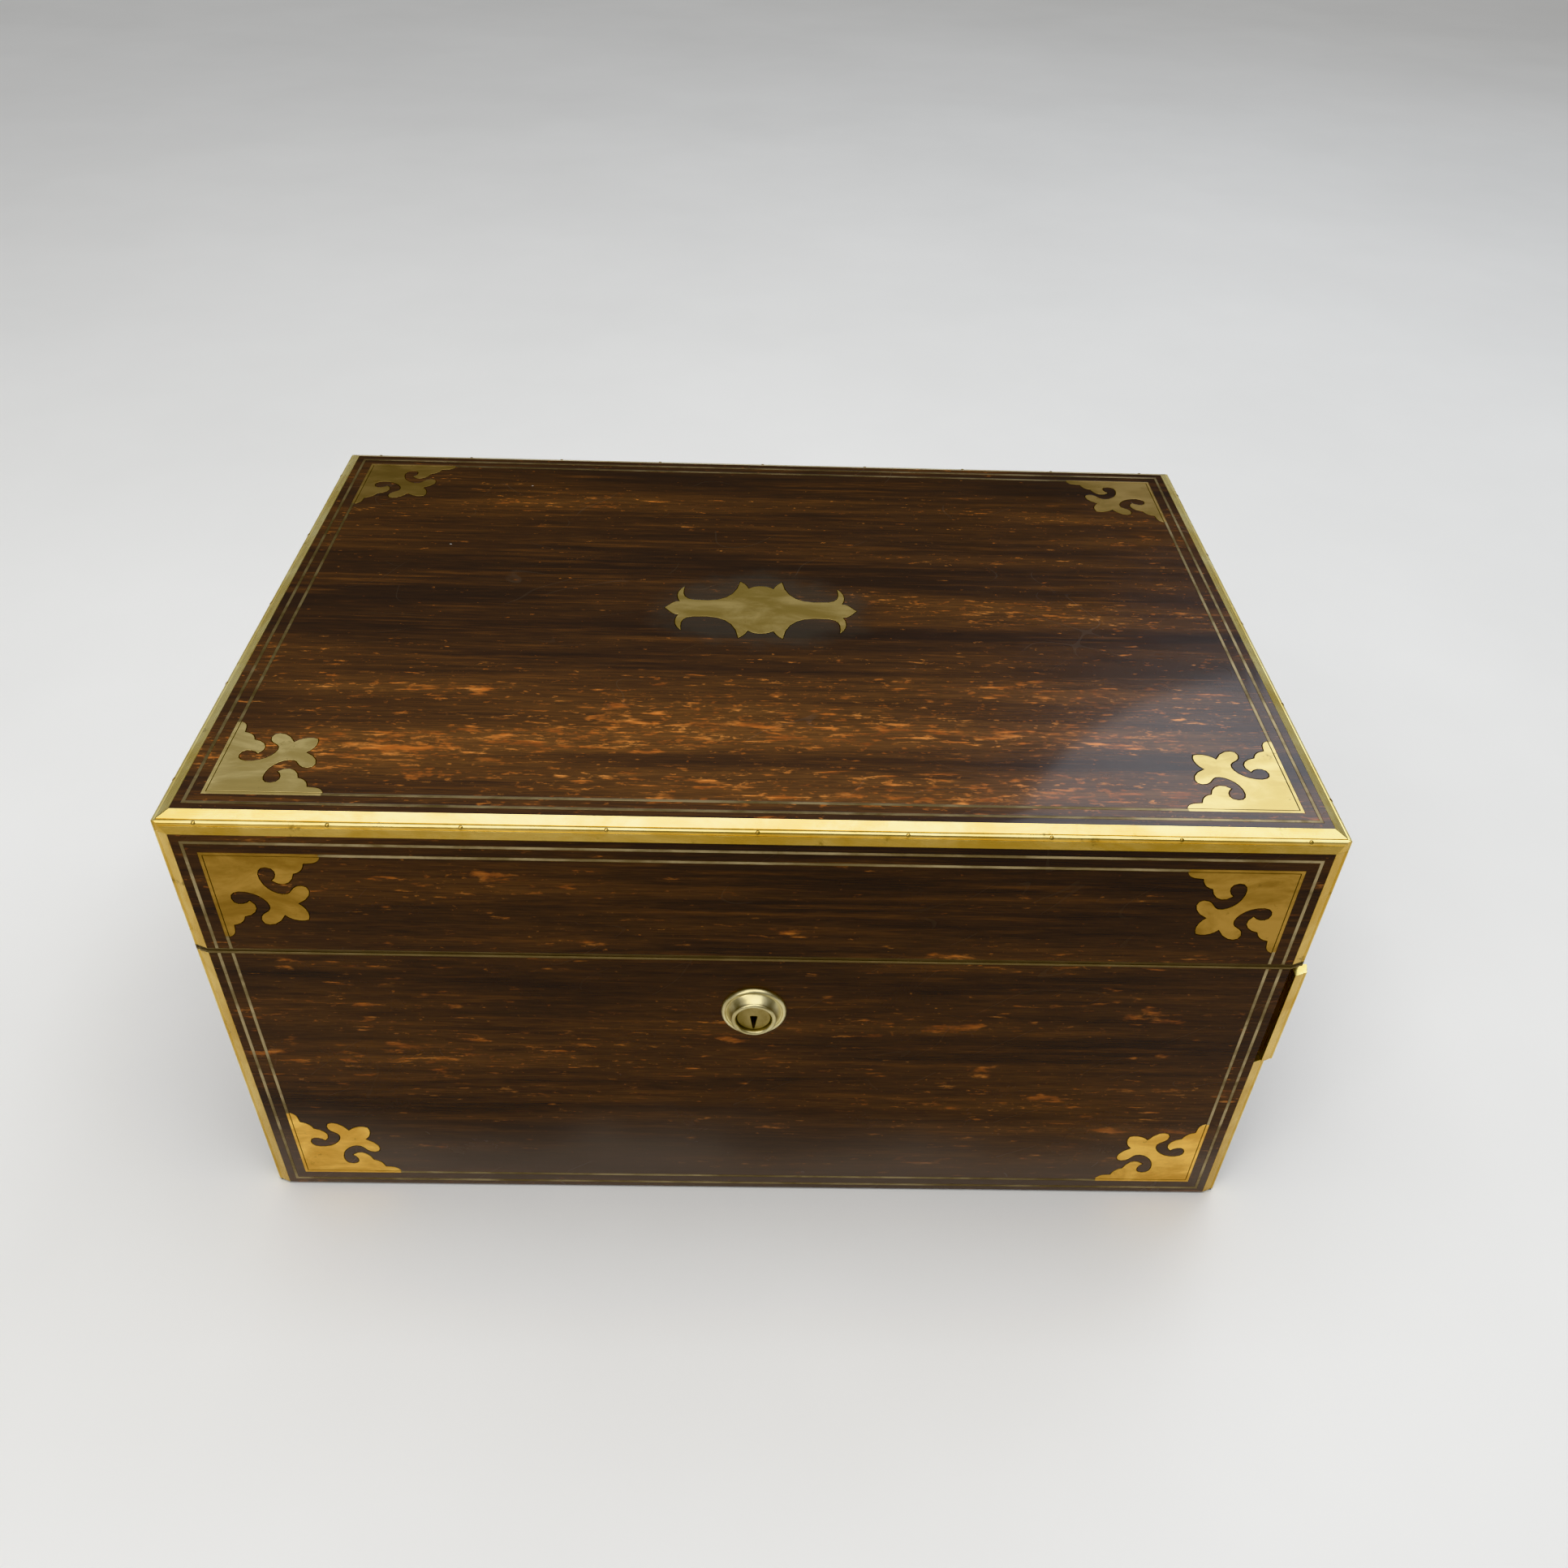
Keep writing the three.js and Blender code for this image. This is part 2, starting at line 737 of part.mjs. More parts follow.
function lockCase() {
  const outerX = mirroredSpan(lockWidth / 2);
  const shell = block(outerX, [lockFront, -innerHalfDepth], [lockBottom, selvedgeBottom]);
  const selvedge = block(selvedgeX, selvedgeY, [selvedgeBottom, baseRimTop]);
  const insideY = [lockFront + lockSheet, -innerHalfDepth - lockSheet];
  const room = block(
    mirroredSpan(lockWidth / 2 - lockSheet),
    insideY,
    [lockBottom + lockSheet, selvedgeBottom - lockSheet],
  );
  const slots = stapleCentres.map((centre) => block(
    [centre - stapleWidth / 2 - stapleSlotPlay, centre + stapleWidth / 2 + stapleSlotPlay],
    [lockMiddle - stapleDepth / 2 - stapleSlotPlay, lockMiddle + stapleDepth / 2 + stapleSlotPlay],
    [selvedgeBottom - overrun, seamHeight + overrun],
  ));
  const holeLength = 2 * (lockSheet + lockGap);
  const plugHole = new THREE.CylinderGeometry(nozzleBore, nozzleBore, holeLength, plugSegments);
  plugHole.translate(0, lockFront, lockHeight);
  const guideTop = barBottom - lockGap;
  const guides = [-1, 1].map((side) => {
    const inner = forkWidth / 2 + boltTravel / 2 + lockSheet;
    const x = [side * inner, side * (inner + guideLength)].sort((a, b) => a - b);
    return block(x, insideY, [guideTop - guideHeight, guideTop]);
  });
  return joined(cut(shell.add(selvedge), room, ...slots, solidOf(plugHole)), ...guides);
}

function lockLinkPlate() {
  const plate = block(linkX, selvedgeY, [lidRimBottom, linkTop]);
  const staples = stapleCentres.map((centre) => {
    const x = [centre - stapleWidth / 2, centre + stapleWidth / 2];
    const y = [lockMiddle - stapleDepth / 2, lockMiddle + stapleDepth / 2];
    const eyeHalf = boltThickness / 2 + lockGap;
    const eye = [fingerBottom - lockGap, fingerTop + lockGap];
    const tab = block(x, y, [eye[0] - stapleSkin, linkTop]);
    const hole = block(
      [x[0] - overrun, x[1] + overrun], [lockMiddle - eyeHalf, lockMiddle + eyeHalf], eye,
    );
    return cut(tab, hole);
  });
  return joined(plate, ...staples);
}

// The hinges

// A ring sector in the YZ plane round the hinge's axis, angles from +Y towards +Z
function stopOutline(inner, outer, start, end) {
  const steps = cornerSegments;
  const arc = (radius, from, to) => {
    const points = [];
    for (let i = 0; i <= steps; i += 1) {
      const angle = THREE.MathUtils.degToRad(from + ((to - from) * i) / steps);
      points.push(new THREE.Vector2(
        hingeAxisY + radius * Math.cos(angle),
        seamHeight + radius * Math.sin(angle),
      ));
    }
    return points;
  };
  return [...arc(outer, start, end), ...arc(inner, end, start)];
}

function hingeLeaf(centre, leafHeight, ownsKnuckle, stopAngles) {
  const x = [centre - hingeLength / 2, centre + hingeLength / 2];
  const plate = block(x, [halfDepth - leafWidth, halfDepth - knuckleGap], leafHeight);
  const stopInner = knuckleRadius + knuckleGap;
  const stop = drawnOut(stopOutline(stopInner, stopRadius, ...stopAngles), x, alongX);
  const stopMiddle = (stopInner + stopRadius) / 2;
  const spokeAngles = [stopAngles[0] + stopPlayAngle, stopAngles[1] - stopPlayAngle];
  const pitch = hingeLength / knuckleCount;
  const knuckles = [];
  for (let i = 0; i < knuckleCount; i += 1) {
    if (ownsKnuckle(i)) {
      const first = i === 0 ? 0 : knuckleGap / 2;
      const last = i === knuckleCount - 1 ? 0 : knuckleGap / 2;
      const span = [x[0] + i * pitch + first, x[0] + (i + 1) * pitch - last];
      knuckles.push(joined(
        barAlongX(knuckleRadius, span, hingeAxisY, seamHeight, knuckleSegments),
        block(span, [halfDepth - leafWidth / 2, hingeAxisY], leafHeight),
        drawnOut(stopOutline(knuckleRadius / 2, stopMiddle, ...spokeAngles), span, alongX),
      ));
    }
  }
  const bore = hingePinRadius + hingePinPlay;
  const boreSpan = [x[0] - overrun, x[1] + overrun];
  const hole = barAlongX(bore, boreSpan, hingeAxisY, seamHeight, knuckleSegments);
  return cut(joined(plate, stop, ...knuckles), hole);
}

function baseLeaf(centre) {
  const stopTop = lidStopStart - openingAngle - stopPlayAngle;
  return hingeLeaf(centre, [baseLeafBottom, baseRimTop], (i) => i % 2 === 0, [-lidStopEnd, stopTop]);
}

function lidLeaf(centre) {
  return hingeLeaf(centre, [lidRimBottom, lidLeafTop], (i) => i % 2 === 1, [lidStopStart, lidStopEnd]);
}

function hingePin(centre) {
  const half = hingeLength / 2 + hingePinHead;
  return barAlongX(hingePinRadius, [centre - half, centre + half], hingeAxisY, seamHeight, pinSegments);
}

// The fittings inside

function ledgeFrame() {
  const height = [floorTop, trayBottom];
  const outside = block(mirroredSpan(innerHalfWidth), mirroredSpan(innerHalfDepth), height);
  const inside = block(
    mirroredSpan(innerHalfWidth - ledgeThickness),
    mirroredSpan(innerHalfDepth - ledgeThickness),
    wholeHeight,
  );
  return cut(outside, inside);
}

const trayHalfWidth = innerHalfWidth - trayGap;
const trayHalfDepth = innerHalfDepth - trayGap;
const cellReachX = trayHalfWidth - trayWall;
const cellReachY = trayHalfDepth - trayWall;
const middleCellX = mirroredSpan(cellReachX - sideCellWidth - trayWall);
const cushionCellY = [-cellReachY, -cellReachY + cushionCellDepth];

function trayCells() {
  const sideXs = [[-cellReachX, -cellReachX + sideCellWidth], [cellReachX - sideCellWidth, cellReachX]];
  const sideYs = [[-cellReachY, -trayWall / 2], [trayWall / 2, cellReachY]];
  const restY = [cushionCellY[1] + trayWall, cellReachY];
  const restMiddle = (restY[0] + restY[1]) / 2;
  const cells = [
    [middleCellX, cushionCellY],
    [middleCellX, [restY[0], restMiddle - trayWall / 2]],
    [middleCellX, [restMiddle + trayWall / 2, restY[1]]],
  ];
  sideXs.forEach((x) => sideYs.forEach((y) => cells.push([x, y])));
  return cells;
}

function tray() {
  const body = block(
    mirroredSpan(trayHalfWidth),
    mirroredSpan(trayHalfDepth),
    [trayBottom, trayBottom + trayHeight],
  );
  const cellSpan = [trayBottom + trayFloor, trayBottom + trayHeight + overrun];
  const hollows = trayCells().map(
    ([x, y]) => drawnOut(roundedRectangle(x, y, cellCorner), cellSpan, upright),
  );
  return cut(body, ...hollows);
}

// A soft block: flat on one side, with a formed surface of the given height on the other
function softBlock(x, y, flat, rise, steps, heightAt) {
  const positions = [];
  const indices = [];
  const columns = steps[0] + 1;
  const layer = columns * (steps[1] + 1);
  [0, 1].forEach((formed) => {
    for (let j = 0; j <= steps[1]; j += 1) {
      for (let i = 0; i < columns; i += 1) {
        const u = i / steps[0];
        const v = j / steps[1];
        const height = formed ? heightAt(u, v) : 0;
        positions.push(
          THREE.MathUtils.lerp(x[0], x[1], u),
          THREE.MathUtils.lerp(y[0], y[1], v),
          flat + rise * height,
        );
      }
    }
  });
  const quad = (a, b, c, d) => {
    if (rise > 0) indices.push(a, b, c, a, c, d);
    else indices.push(a, c, b, a, d, c);
  };
  for (let j = 0; j < steps[1]; j += 1) {
    for (let i = 0; i < steps[0]; i += 1) {
      const a = j * columns + i;
      const b = a + 1;
      const c = b + columns;
      const d = a + columns;
      quad(a, d, c, b);
      quad(a + layer, b + layer, c + layer, d + layer);
    }
  }
  for (let i = 0; i < steps[0]; i += 1) {
    const far = steps[1] * columns + i;
    quad(i, i + 1, i + 1 + layer, i + layer);
    quad(far + 1, far, far + layer, far + 1 + layer);
  }
  for (let j = 0; j < steps[1]; j += 1) {
    const near = j * columns;
    const right = near + steps[0];
    quad(near + columns, near, near + layer, near + columns + layer);
    quad(right, right + columns, right + columns + layer, right + layer);
  }
  const geometry = new THREE.BufferGeometry();
  geometry.setAttribute('position', new THREE.Float32BufferAttribute(positions, 3));
  geometry.setIndex(indices);
  return geometry;
}

// The ring cushion: rolls side by side, drawn down at both ends
function ringCushion() {
  const x = [middleCellX[0] + cushionGap, middleCellX[1] - cushionGap];
  const y = [cushionCellY[0] + cushionGap, cushionCellY[1] - cushionGap];
  const heightAt = (u, v) => {
    const inRoll = ((v * cushionRolls) % 1) * 2 - 1;
    const round = Math.sqrt(Math.max(0, 1 - inRoll * inRoll));
    const ends = 1 - cushionEndShare * Math.abs(2 * u - 1) ** 8;
    return (cushionHeight - cushionValley * (1 - round)) * ends;
  };
  const steps = [10, cushionRolls * 6];
  return softBlock(x, y, trayBottom + trayFloor + softGap, 1, steps, heightAt);
}

function liningFrame() {
  const height = [lidCeiling - liningThickness, lidCeiling];
  const outside = block(mirroredSpan(innerHalfWidth), mirroredSpan(innerHalfDepth), height);
  const inside = block(
    mirroredSpan(innerHalfWidth - liningWidth),
    mirroredSpan(innerHalfDepth - liningWidth),
    wholeHeight,
  );
  return cut(outside, inside);
}

// The lid's pad: a low crown with rows of sewn tufts, every second row set between the first
function lidPad() {
  const padHalfX = innerHalfWidth - liningWidth - padGap;
  const padHalfY = innerHalfDepth - liningWidth - padGap;
  const tufts = [];
  for (let row = 0; row < padTuftRows; row += 1) {
    const count = padTuftColumns - (row % 2);
    for (let column = 0; column < count; column += 1) {
      tufts.push(new THREE.Vector2(
        (column - (count - 1) / 2) * ((2 * padHalfX) / padTuftColumns),
        (row - (padTuftRows - 1) / 2) * ((2 * padHalfY) / padTuftRows),
      ));
    }
  }
  const heightAt = (u, v) => {
    const place = new THREE.Vector2((2 * u - 1) * padHalfX, (2 * v - 1) * padHalfY);
    const crown = (1 - Math.abs(2 * u - 1) ** 4) * (1 - Math.abs(2 * v - 1) ** 4);
    const dips = tufts.map((tuft) => Math.exp(-place.distanceToSquared(tuft) / padTuftRadius ** 2));
    return padEdge + padCrown * crown - padTuftDepth * Math.max(...dips);
  };
  const flat = lidCeiling - softGap;
  return softBlock(mirroredSpan(padHalfX), mirroredSpan(padHalfY), flat, -1, [24, 16], heightAt);
}

// Materials

function material(color, roughness, metalness) {
  return new THREE.MeshStandardMaterial({ color, roughness, metalness, flatShading: true });
}

const veneerWood = material('#26160e', 0.25, 0);
const mahogany = material('#5a2c18', 0.5, 0);
const edgingBrass = material('#e0cd7a', 0.28, 1);
const inlayBrass = material('#b98f45', 0.35, 1);
const rimBrass = material('#7d6a4c', 0.45, 1);
const lockBrass = material('#c9bd8c', 0.3, 1);
const steel = material('#8d8d8f', 0.35, 1);
const green = material('#22382c', 0.95, 0);
const leather = material('#4a1418', 0.6, 0);
const velvet = material('#5b1420', 0.9, 0);
const silk = material('#6d1b2b', 0.6, 0);

// Assembly

const casket = new THREE.Group();
const base = new THREE.Group();
const lid = new THREE.Group();
casket.add(base, lid);

function add(body, name, solid, finish) {
  const geometry = solid.isBufferGeometry ? solid : geometryOf(solid);
  const mesh = new THREE.Mesh(geometry, finish);
  mesh.name = name;
  body.add(mesh);
  return mesh;
}

// Base: boards, veneer and rim
const frontBoardCut = cut(frontBoard(baseHeight), lockPocket(), lockHole());
const baseVeneer = frontVeneer(baseHeight, basePlateCorner, 1);
add(base, 'base_front_board', frontBoardCut, mahogany);
add(base, 'base_back_board', cut(backBoard(baseHeight, baseHeight), baseLeafRecesses), mahogany);
add(base, 'base_left_board', sideBoard(-1, baseHeight, baseHeight), mahogany);
add(base, 'base_right_board', sideBoard(1, baseHeight, baseHeight), mahogany);
add(base, 'base_bottom_board', bottomBoard(), mahogany);
add(base, 'base_felt', felt(), green);
add(base, 'base_front_veneer', cut(baseVeneer, lockHole()), veneerWood);
const baseRim = rim([baseRimBottom, baseRimTop], baseLeafRecesses, lockPocket());
add(base, 'base_rim_brass', baseRim, rimBrass);

// Base: edging, plates and lines
add(base, 'base_edging_front_left', cornerEdging(-1, -1, baseHeight), edgingBrass);
const lowerRight = [feltThickness, sprungFoot - sprungGap];
const sprungHeight = [sprungFoot, baseRimBottom - sprungDrop];
add(base, 'base_edging_front_right_lower', cornerEdging(1, -1, lowerRight), edgingBrass);
const sprung = cornerEdging(1, -1, sprungHeight, sprungOut);
add(base, 'base_edging_front_right_sprung', sprung, edgingBrass);
add(base, 'base_edging_back_left', cornerEdging(-1, 1, baseHeight), edgingBrass);
add(base, 'base_edging_back_right', cornerEdging(1, 1, baseHeight), edgingBrass);
[['left', -1], ['right', 1]].forEach(([word, sideX]) => {
  const plate = frontPlate(plateOutline, sideX, basePlateCorner, 1, frontSpan);
  add(base, `base_plate_${word}`, plate, inlayBrass);
});
add(base, 'base_stringing_outer', frontLine(outerStringingInset, baseHeight), inlayBrass);
add(base, 'base_stringing_inner', frontLine(innerStringingInset, baseHeight), inlayBrass);

// Base: lock, hinges and fittings
add(base, 'lock_case', lockCase(), lockBrass);
add(base, 'lock_rose', lockRose(), lockBrass).position.set(0, -halfDepth, lockHeight);
add(base, 'lock_plug', lockPlug(), lockBrass).position.set(0, -halfDepth, lockHeight);
add(base, 'lock_bolt', lockBolt(), steel);
Object.entries(hingeCentres).forEach(([word, centre]) => {
  add(base, `hinge_${word}_base_leaf`, baseLeaf(centre), lockBrass);
  add(base, `hinge_${word}_pin`, hingePin(centre), steel);
  add(lid, `hinge_${word}_lid_leaf`, lidLeaf(centre), lockBrass);
});
add(base, 'tray_rest_frame', ledgeFrame(), mahogany);
add(base, 'tray', tray(), leather);
add(base, 'ring_cushion', ringCushion(), velvet);

// Lid: boards, veneer and rim
add(lid, 'lid_top_board', lidTopBoard(), mahogany);
add(lid, 'lid_front_board', cut(frontBoard(lidHeight), linkRecess), mahogany);
const lidBack = cut(backBoard(lidHeight, lidVeneerHeight), lidLeafRecesses);
add(lid, 'lid_back_board', lidBack, mahogany);
add(lid, 'lid_left_board', sideBoard(-1, lidHeight, lidVeneerHeight), mahogany);
add(lid, 'lid_right_board', sideBoard(1, lidHeight, lidVeneerHeight), mahogany);
add(lid, 'lid_top_veneer', lidTopVeneer(), veneerWood);
add(lid, 'lid_front_veneer', frontVeneer(lidVeneerHeight, lidPlateCorner, -1), veneerWood);
const lidRim = rim([lidRimBottom, lidRimTop], lidLeafRecesses, linkRecess);
add(lid, 'lid_rim_brass', lidRim, rimBrass);

// Lid: edging
add(lid, 'lid_edging_top_front', topEdging(true, -1), edgingBrass);
add(lid, 'lid_edging_top_back', topEdging(true, 1), edgingBrass);
add(lid, 'lid_edging_top_left', topEdging(false, -1), edgingBrass);
add(lid, 'lid_edging_top_right', topEdging(false, 1), edgingBrass);

// Lid: corner edging and top plates, one of each at every corner
[['front', -1], ['back', 1]].forEach(([depthWord, sideY]) => {
  [['left', -1], ['right', 1]].forEach(([widthWord, sideX]) => {
    const place = `${depthWord}_${widthWord}`;
    add(lid, `lid_edging_${place}`, cornerEdging(sideX, sideY, lidVeneerHeight), edgingBrass);
    add(lid, `top_plate_${place}`, topPlate(plateOutline, sideX, sideY, topSpan), inlayBrass);
  });
});

// Lid: front plates, cartouche, lines, link plate and lining
[['left', -1], ['right', 1]].forEach(([word, sideX]) => {
  const plate = frontPlate(plateOutline, sideX, lidPlateCorner, -1, frontSpan);
  add(lid, `lid_plate_${word}`, plate, inlayBrass);
});
add(lid, 'top_cartouche', drawnOut(cartoucheOutline(), topSpan, upright), inlayBrass);
add(lid, 'top_stringing_outer', topLine(outerStringingInset), inlayBrass);
add(lid, 'top_stringing_inner', topLine(innerStringingInset), inlayBrass);
add(lid, 'lid_stringing_outer', frontLine(outerStringingInset, lidVeneerHeight), inlayBrass);
add(lid, 'lid_stringing_inner', frontLine(innerStringingInset, lidVeneerHeight), inlayBrass);
add(lid, 'lock_link_plate', lockLinkPlate(), lockBrass);
add(lid, 'lid_lining_frame', liningFrame(), leather);
add(lid, 'lid_pad', lidPad(), silk);

export default casket;
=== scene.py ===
# An antique jewelry casket: finishes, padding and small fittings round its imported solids.
# Metres, +Z up, the front faces -Y, in the same frame as the solids.

import math
from collections import namedtuple
from functools import partialmethod

import bpy
from mathutils import Matrix, Vector


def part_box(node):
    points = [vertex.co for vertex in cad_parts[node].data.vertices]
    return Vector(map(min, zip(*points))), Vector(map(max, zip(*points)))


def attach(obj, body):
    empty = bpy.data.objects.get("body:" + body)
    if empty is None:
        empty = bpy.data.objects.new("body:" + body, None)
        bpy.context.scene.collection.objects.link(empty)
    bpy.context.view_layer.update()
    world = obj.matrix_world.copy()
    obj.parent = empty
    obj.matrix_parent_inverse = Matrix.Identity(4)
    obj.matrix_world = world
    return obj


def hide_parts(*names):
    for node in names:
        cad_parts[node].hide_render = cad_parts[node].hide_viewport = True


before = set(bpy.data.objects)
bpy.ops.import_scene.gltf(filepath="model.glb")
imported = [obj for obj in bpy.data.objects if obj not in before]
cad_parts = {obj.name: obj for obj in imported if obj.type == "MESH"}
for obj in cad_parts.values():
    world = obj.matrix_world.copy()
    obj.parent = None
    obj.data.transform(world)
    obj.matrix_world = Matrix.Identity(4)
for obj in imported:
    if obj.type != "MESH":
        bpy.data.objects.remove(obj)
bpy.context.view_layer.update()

MM = 0.001
X_AXIS, Y_AXIS, Z_AXIS = 0, 1, 2
SQUARE = (-1, -1), (1, -1), (1, 1), (-1, 1)

# Sizes that come from the solids
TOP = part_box("lid_top_veneer")[1].z
RIM_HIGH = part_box("base_rim_brass")[1]
HALF_WIDTH = RIM_HIGH.x
HALF_DEPTH = RIM_HIGH.y
LID_RIM_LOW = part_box("lid_rim_brass")[0]
PAD_LOW, PAD_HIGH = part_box("lid_pad")
CUSHION_LOW, CUSHION_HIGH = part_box("ring_cushion")
TRAY_LOW, TRAY_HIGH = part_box("tray")
CARTOUCHE_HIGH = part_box("top_cartouche")[1]


# Camera: place, angles and focal length found from the photograph, whose frame is square

CAMERA_PLACE = Vector((-1.573, -393.514, 417.8)) * MM
CAMERA_PITCH = math.radians(39.418)
CAMERA_YAW = math.radians(1.733)
CAMERA_ROLL = math.radians(2.152)
PHOTO_SIDE_PIXELS = 1932
FOCAL_PIXELS = 1632.75
SENSOR = 36.0
CAMERA_NEAR = 10 * MM


def make_camera():
    forward = Vector((
        math.sin(CAMERA_YAW) * math.cos(CAMERA_PITCH),
        math.cos(CAMERA_YAW) * math.cos(CAMERA_PITCH),
        -math.sin(CAMERA_PITCH),
    ))
    level = Vector((math.cos(CAMERA_YAW), -math.sin(CAMERA_YAW), 0))
    upright = level.cross(forward)
    right = math.cos(CAMERA_ROLL) * level + math.sin(CAMERA_ROLL) * upright
    up = math.cos(CAMERA_ROLL) * upright - math.sin(CAMERA_ROLL) * level
    data = bpy.data.cameras.new("camera")
    data.sensor_width = SENSOR
    data.lens = FOCAL_PIXELS / PHOTO_SIDE_PIXELS * SENSOR
    data.clip_start = CAMERA_NEAR
    camera = bpy.data.objects.new("camera", data)
    turn = Matrix((right, up, -forward)).transposed().to_4x4()
    camera.matrix_world = Matrix.Translation(CAMERA_PLACE) @ turn
    bpy.context.scene.collection.objects.link(camera)
    bpy.context.scene.camera = camera


# Light and floor

FLOOR_REACH = 9.0
LIGHT_AIM = Vector((0, 0, 100)) * MM

# Each light's place, size and radiance, and the tint and shape of one that isn't plain
LIGHTS = {
    "light_over": ((0.0, -0.15, 1.35), (1.3, 1.0), 2.2),
    "light_front": ((-0.9, -1.3, 1.2), (0.9, 0.9), 2.6),
    "light_window": ((0.93, 1.08, 1.50), (1.15, 0.95), 2.1, (0.80, 0.88, 1.0), "ELLIPSE"),
}

# The world's tones, each with the height of its direction: 0 is level and 1 is straight up
WORLD_TONES = (0.42, (0.16, 0.155, 0.145, 1)), (0.82, (0.85, 0.86, 0.88, 1))
WORLD_STRENGTH = 0.85


def make_light(name, place, size, radiance, tint=(1, 1, 1), shape="RECTANGLE"):
    data = bpy.data.lights.new(name, "AREA")
    data.shape = shape
    data.size, data.size_y = size
    area = size[0] * size[1] * (math.pi / 4 if shape == "ELLIPSE" else 1)
    data.energy = radiance * math.pi * area
    data.color = tint
    light = bpy.data.objects.new(name, data)
    light.location = place
    light.rotation_mode = "QUATERNION"
    light.rotation_quaternion = (LIGHT_AIM - Vector(place)).to_track_quat("-Z", "Y")
    bpy.context.scene.collection.objects.link(light)


def make_world():
    world = bpy.data.worlds.new("studio")
    world.use_nodes = True
    nodes, links = world.node_tree.nodes, world.node_tree.links
    coordinates = nodes.new("ShaderNodeTexCoord")
    parts = nodes.new("ShaderNodeSeparateXYZ")
    height = nodes.new("ShaderNodeValToRGB")
    for element, (position, color) in zip(height.color_ramp.elements, WORLD_TONES):
        element.position = position
        element.color = color
    links.new(coordinates.outputs["Generated"], parts.inputs[0])
    links.new(parts.outputs["Z"], height.inputs[0])
    links.new(height.outputs[0], nodes["Background"].inputs["Color"])
    nodes["Background"].inputs["Strength"].default_value = WORLD_STRENGTH
    bpy.context.scene.world = world


def make_studio():
    make_world()
    for name, values in LIGHTS.items():
        make_light(name, *values)
    mesh = bpy.data.meshes.new("floor")
    corners = [(x * FLOOR_REACH, y * FLOOR_REACH, 0) for x, y in SQUARE]
    mesh.from_pydata(corners, [], [(0, 1, 2, 3)])
    floor = bpy.data.objects.new("floor", mesh)
    bpy.context.scene.collection.objects.link(floor)
    finish = Finish("floor_paint")
    tones = [(0.3, srgb(234, 233, 230)), (0.7, srgb(240, 239, 236))]
    finish.set(Base_Color=finish.ramp(finish.noise(3, 4, 0.6), tones), Roughness=0.65)
    mesh.materials.append(finish.material)
    bpy.context.scene.view_settings.view_transform = "Khronos PBR Neutral"


# Finishes

def srgb(red, green, blue):
    """A colour of 0 to 255 as the linear one that a shader takes."""
    def linear(value):
        share = value / 255
        return share / 12.92 if share <= 0.04045 else ((share + 0.055) / 1.055) ** 2.4
    return (linear(red), linear(green), linear(blue), 1.0)


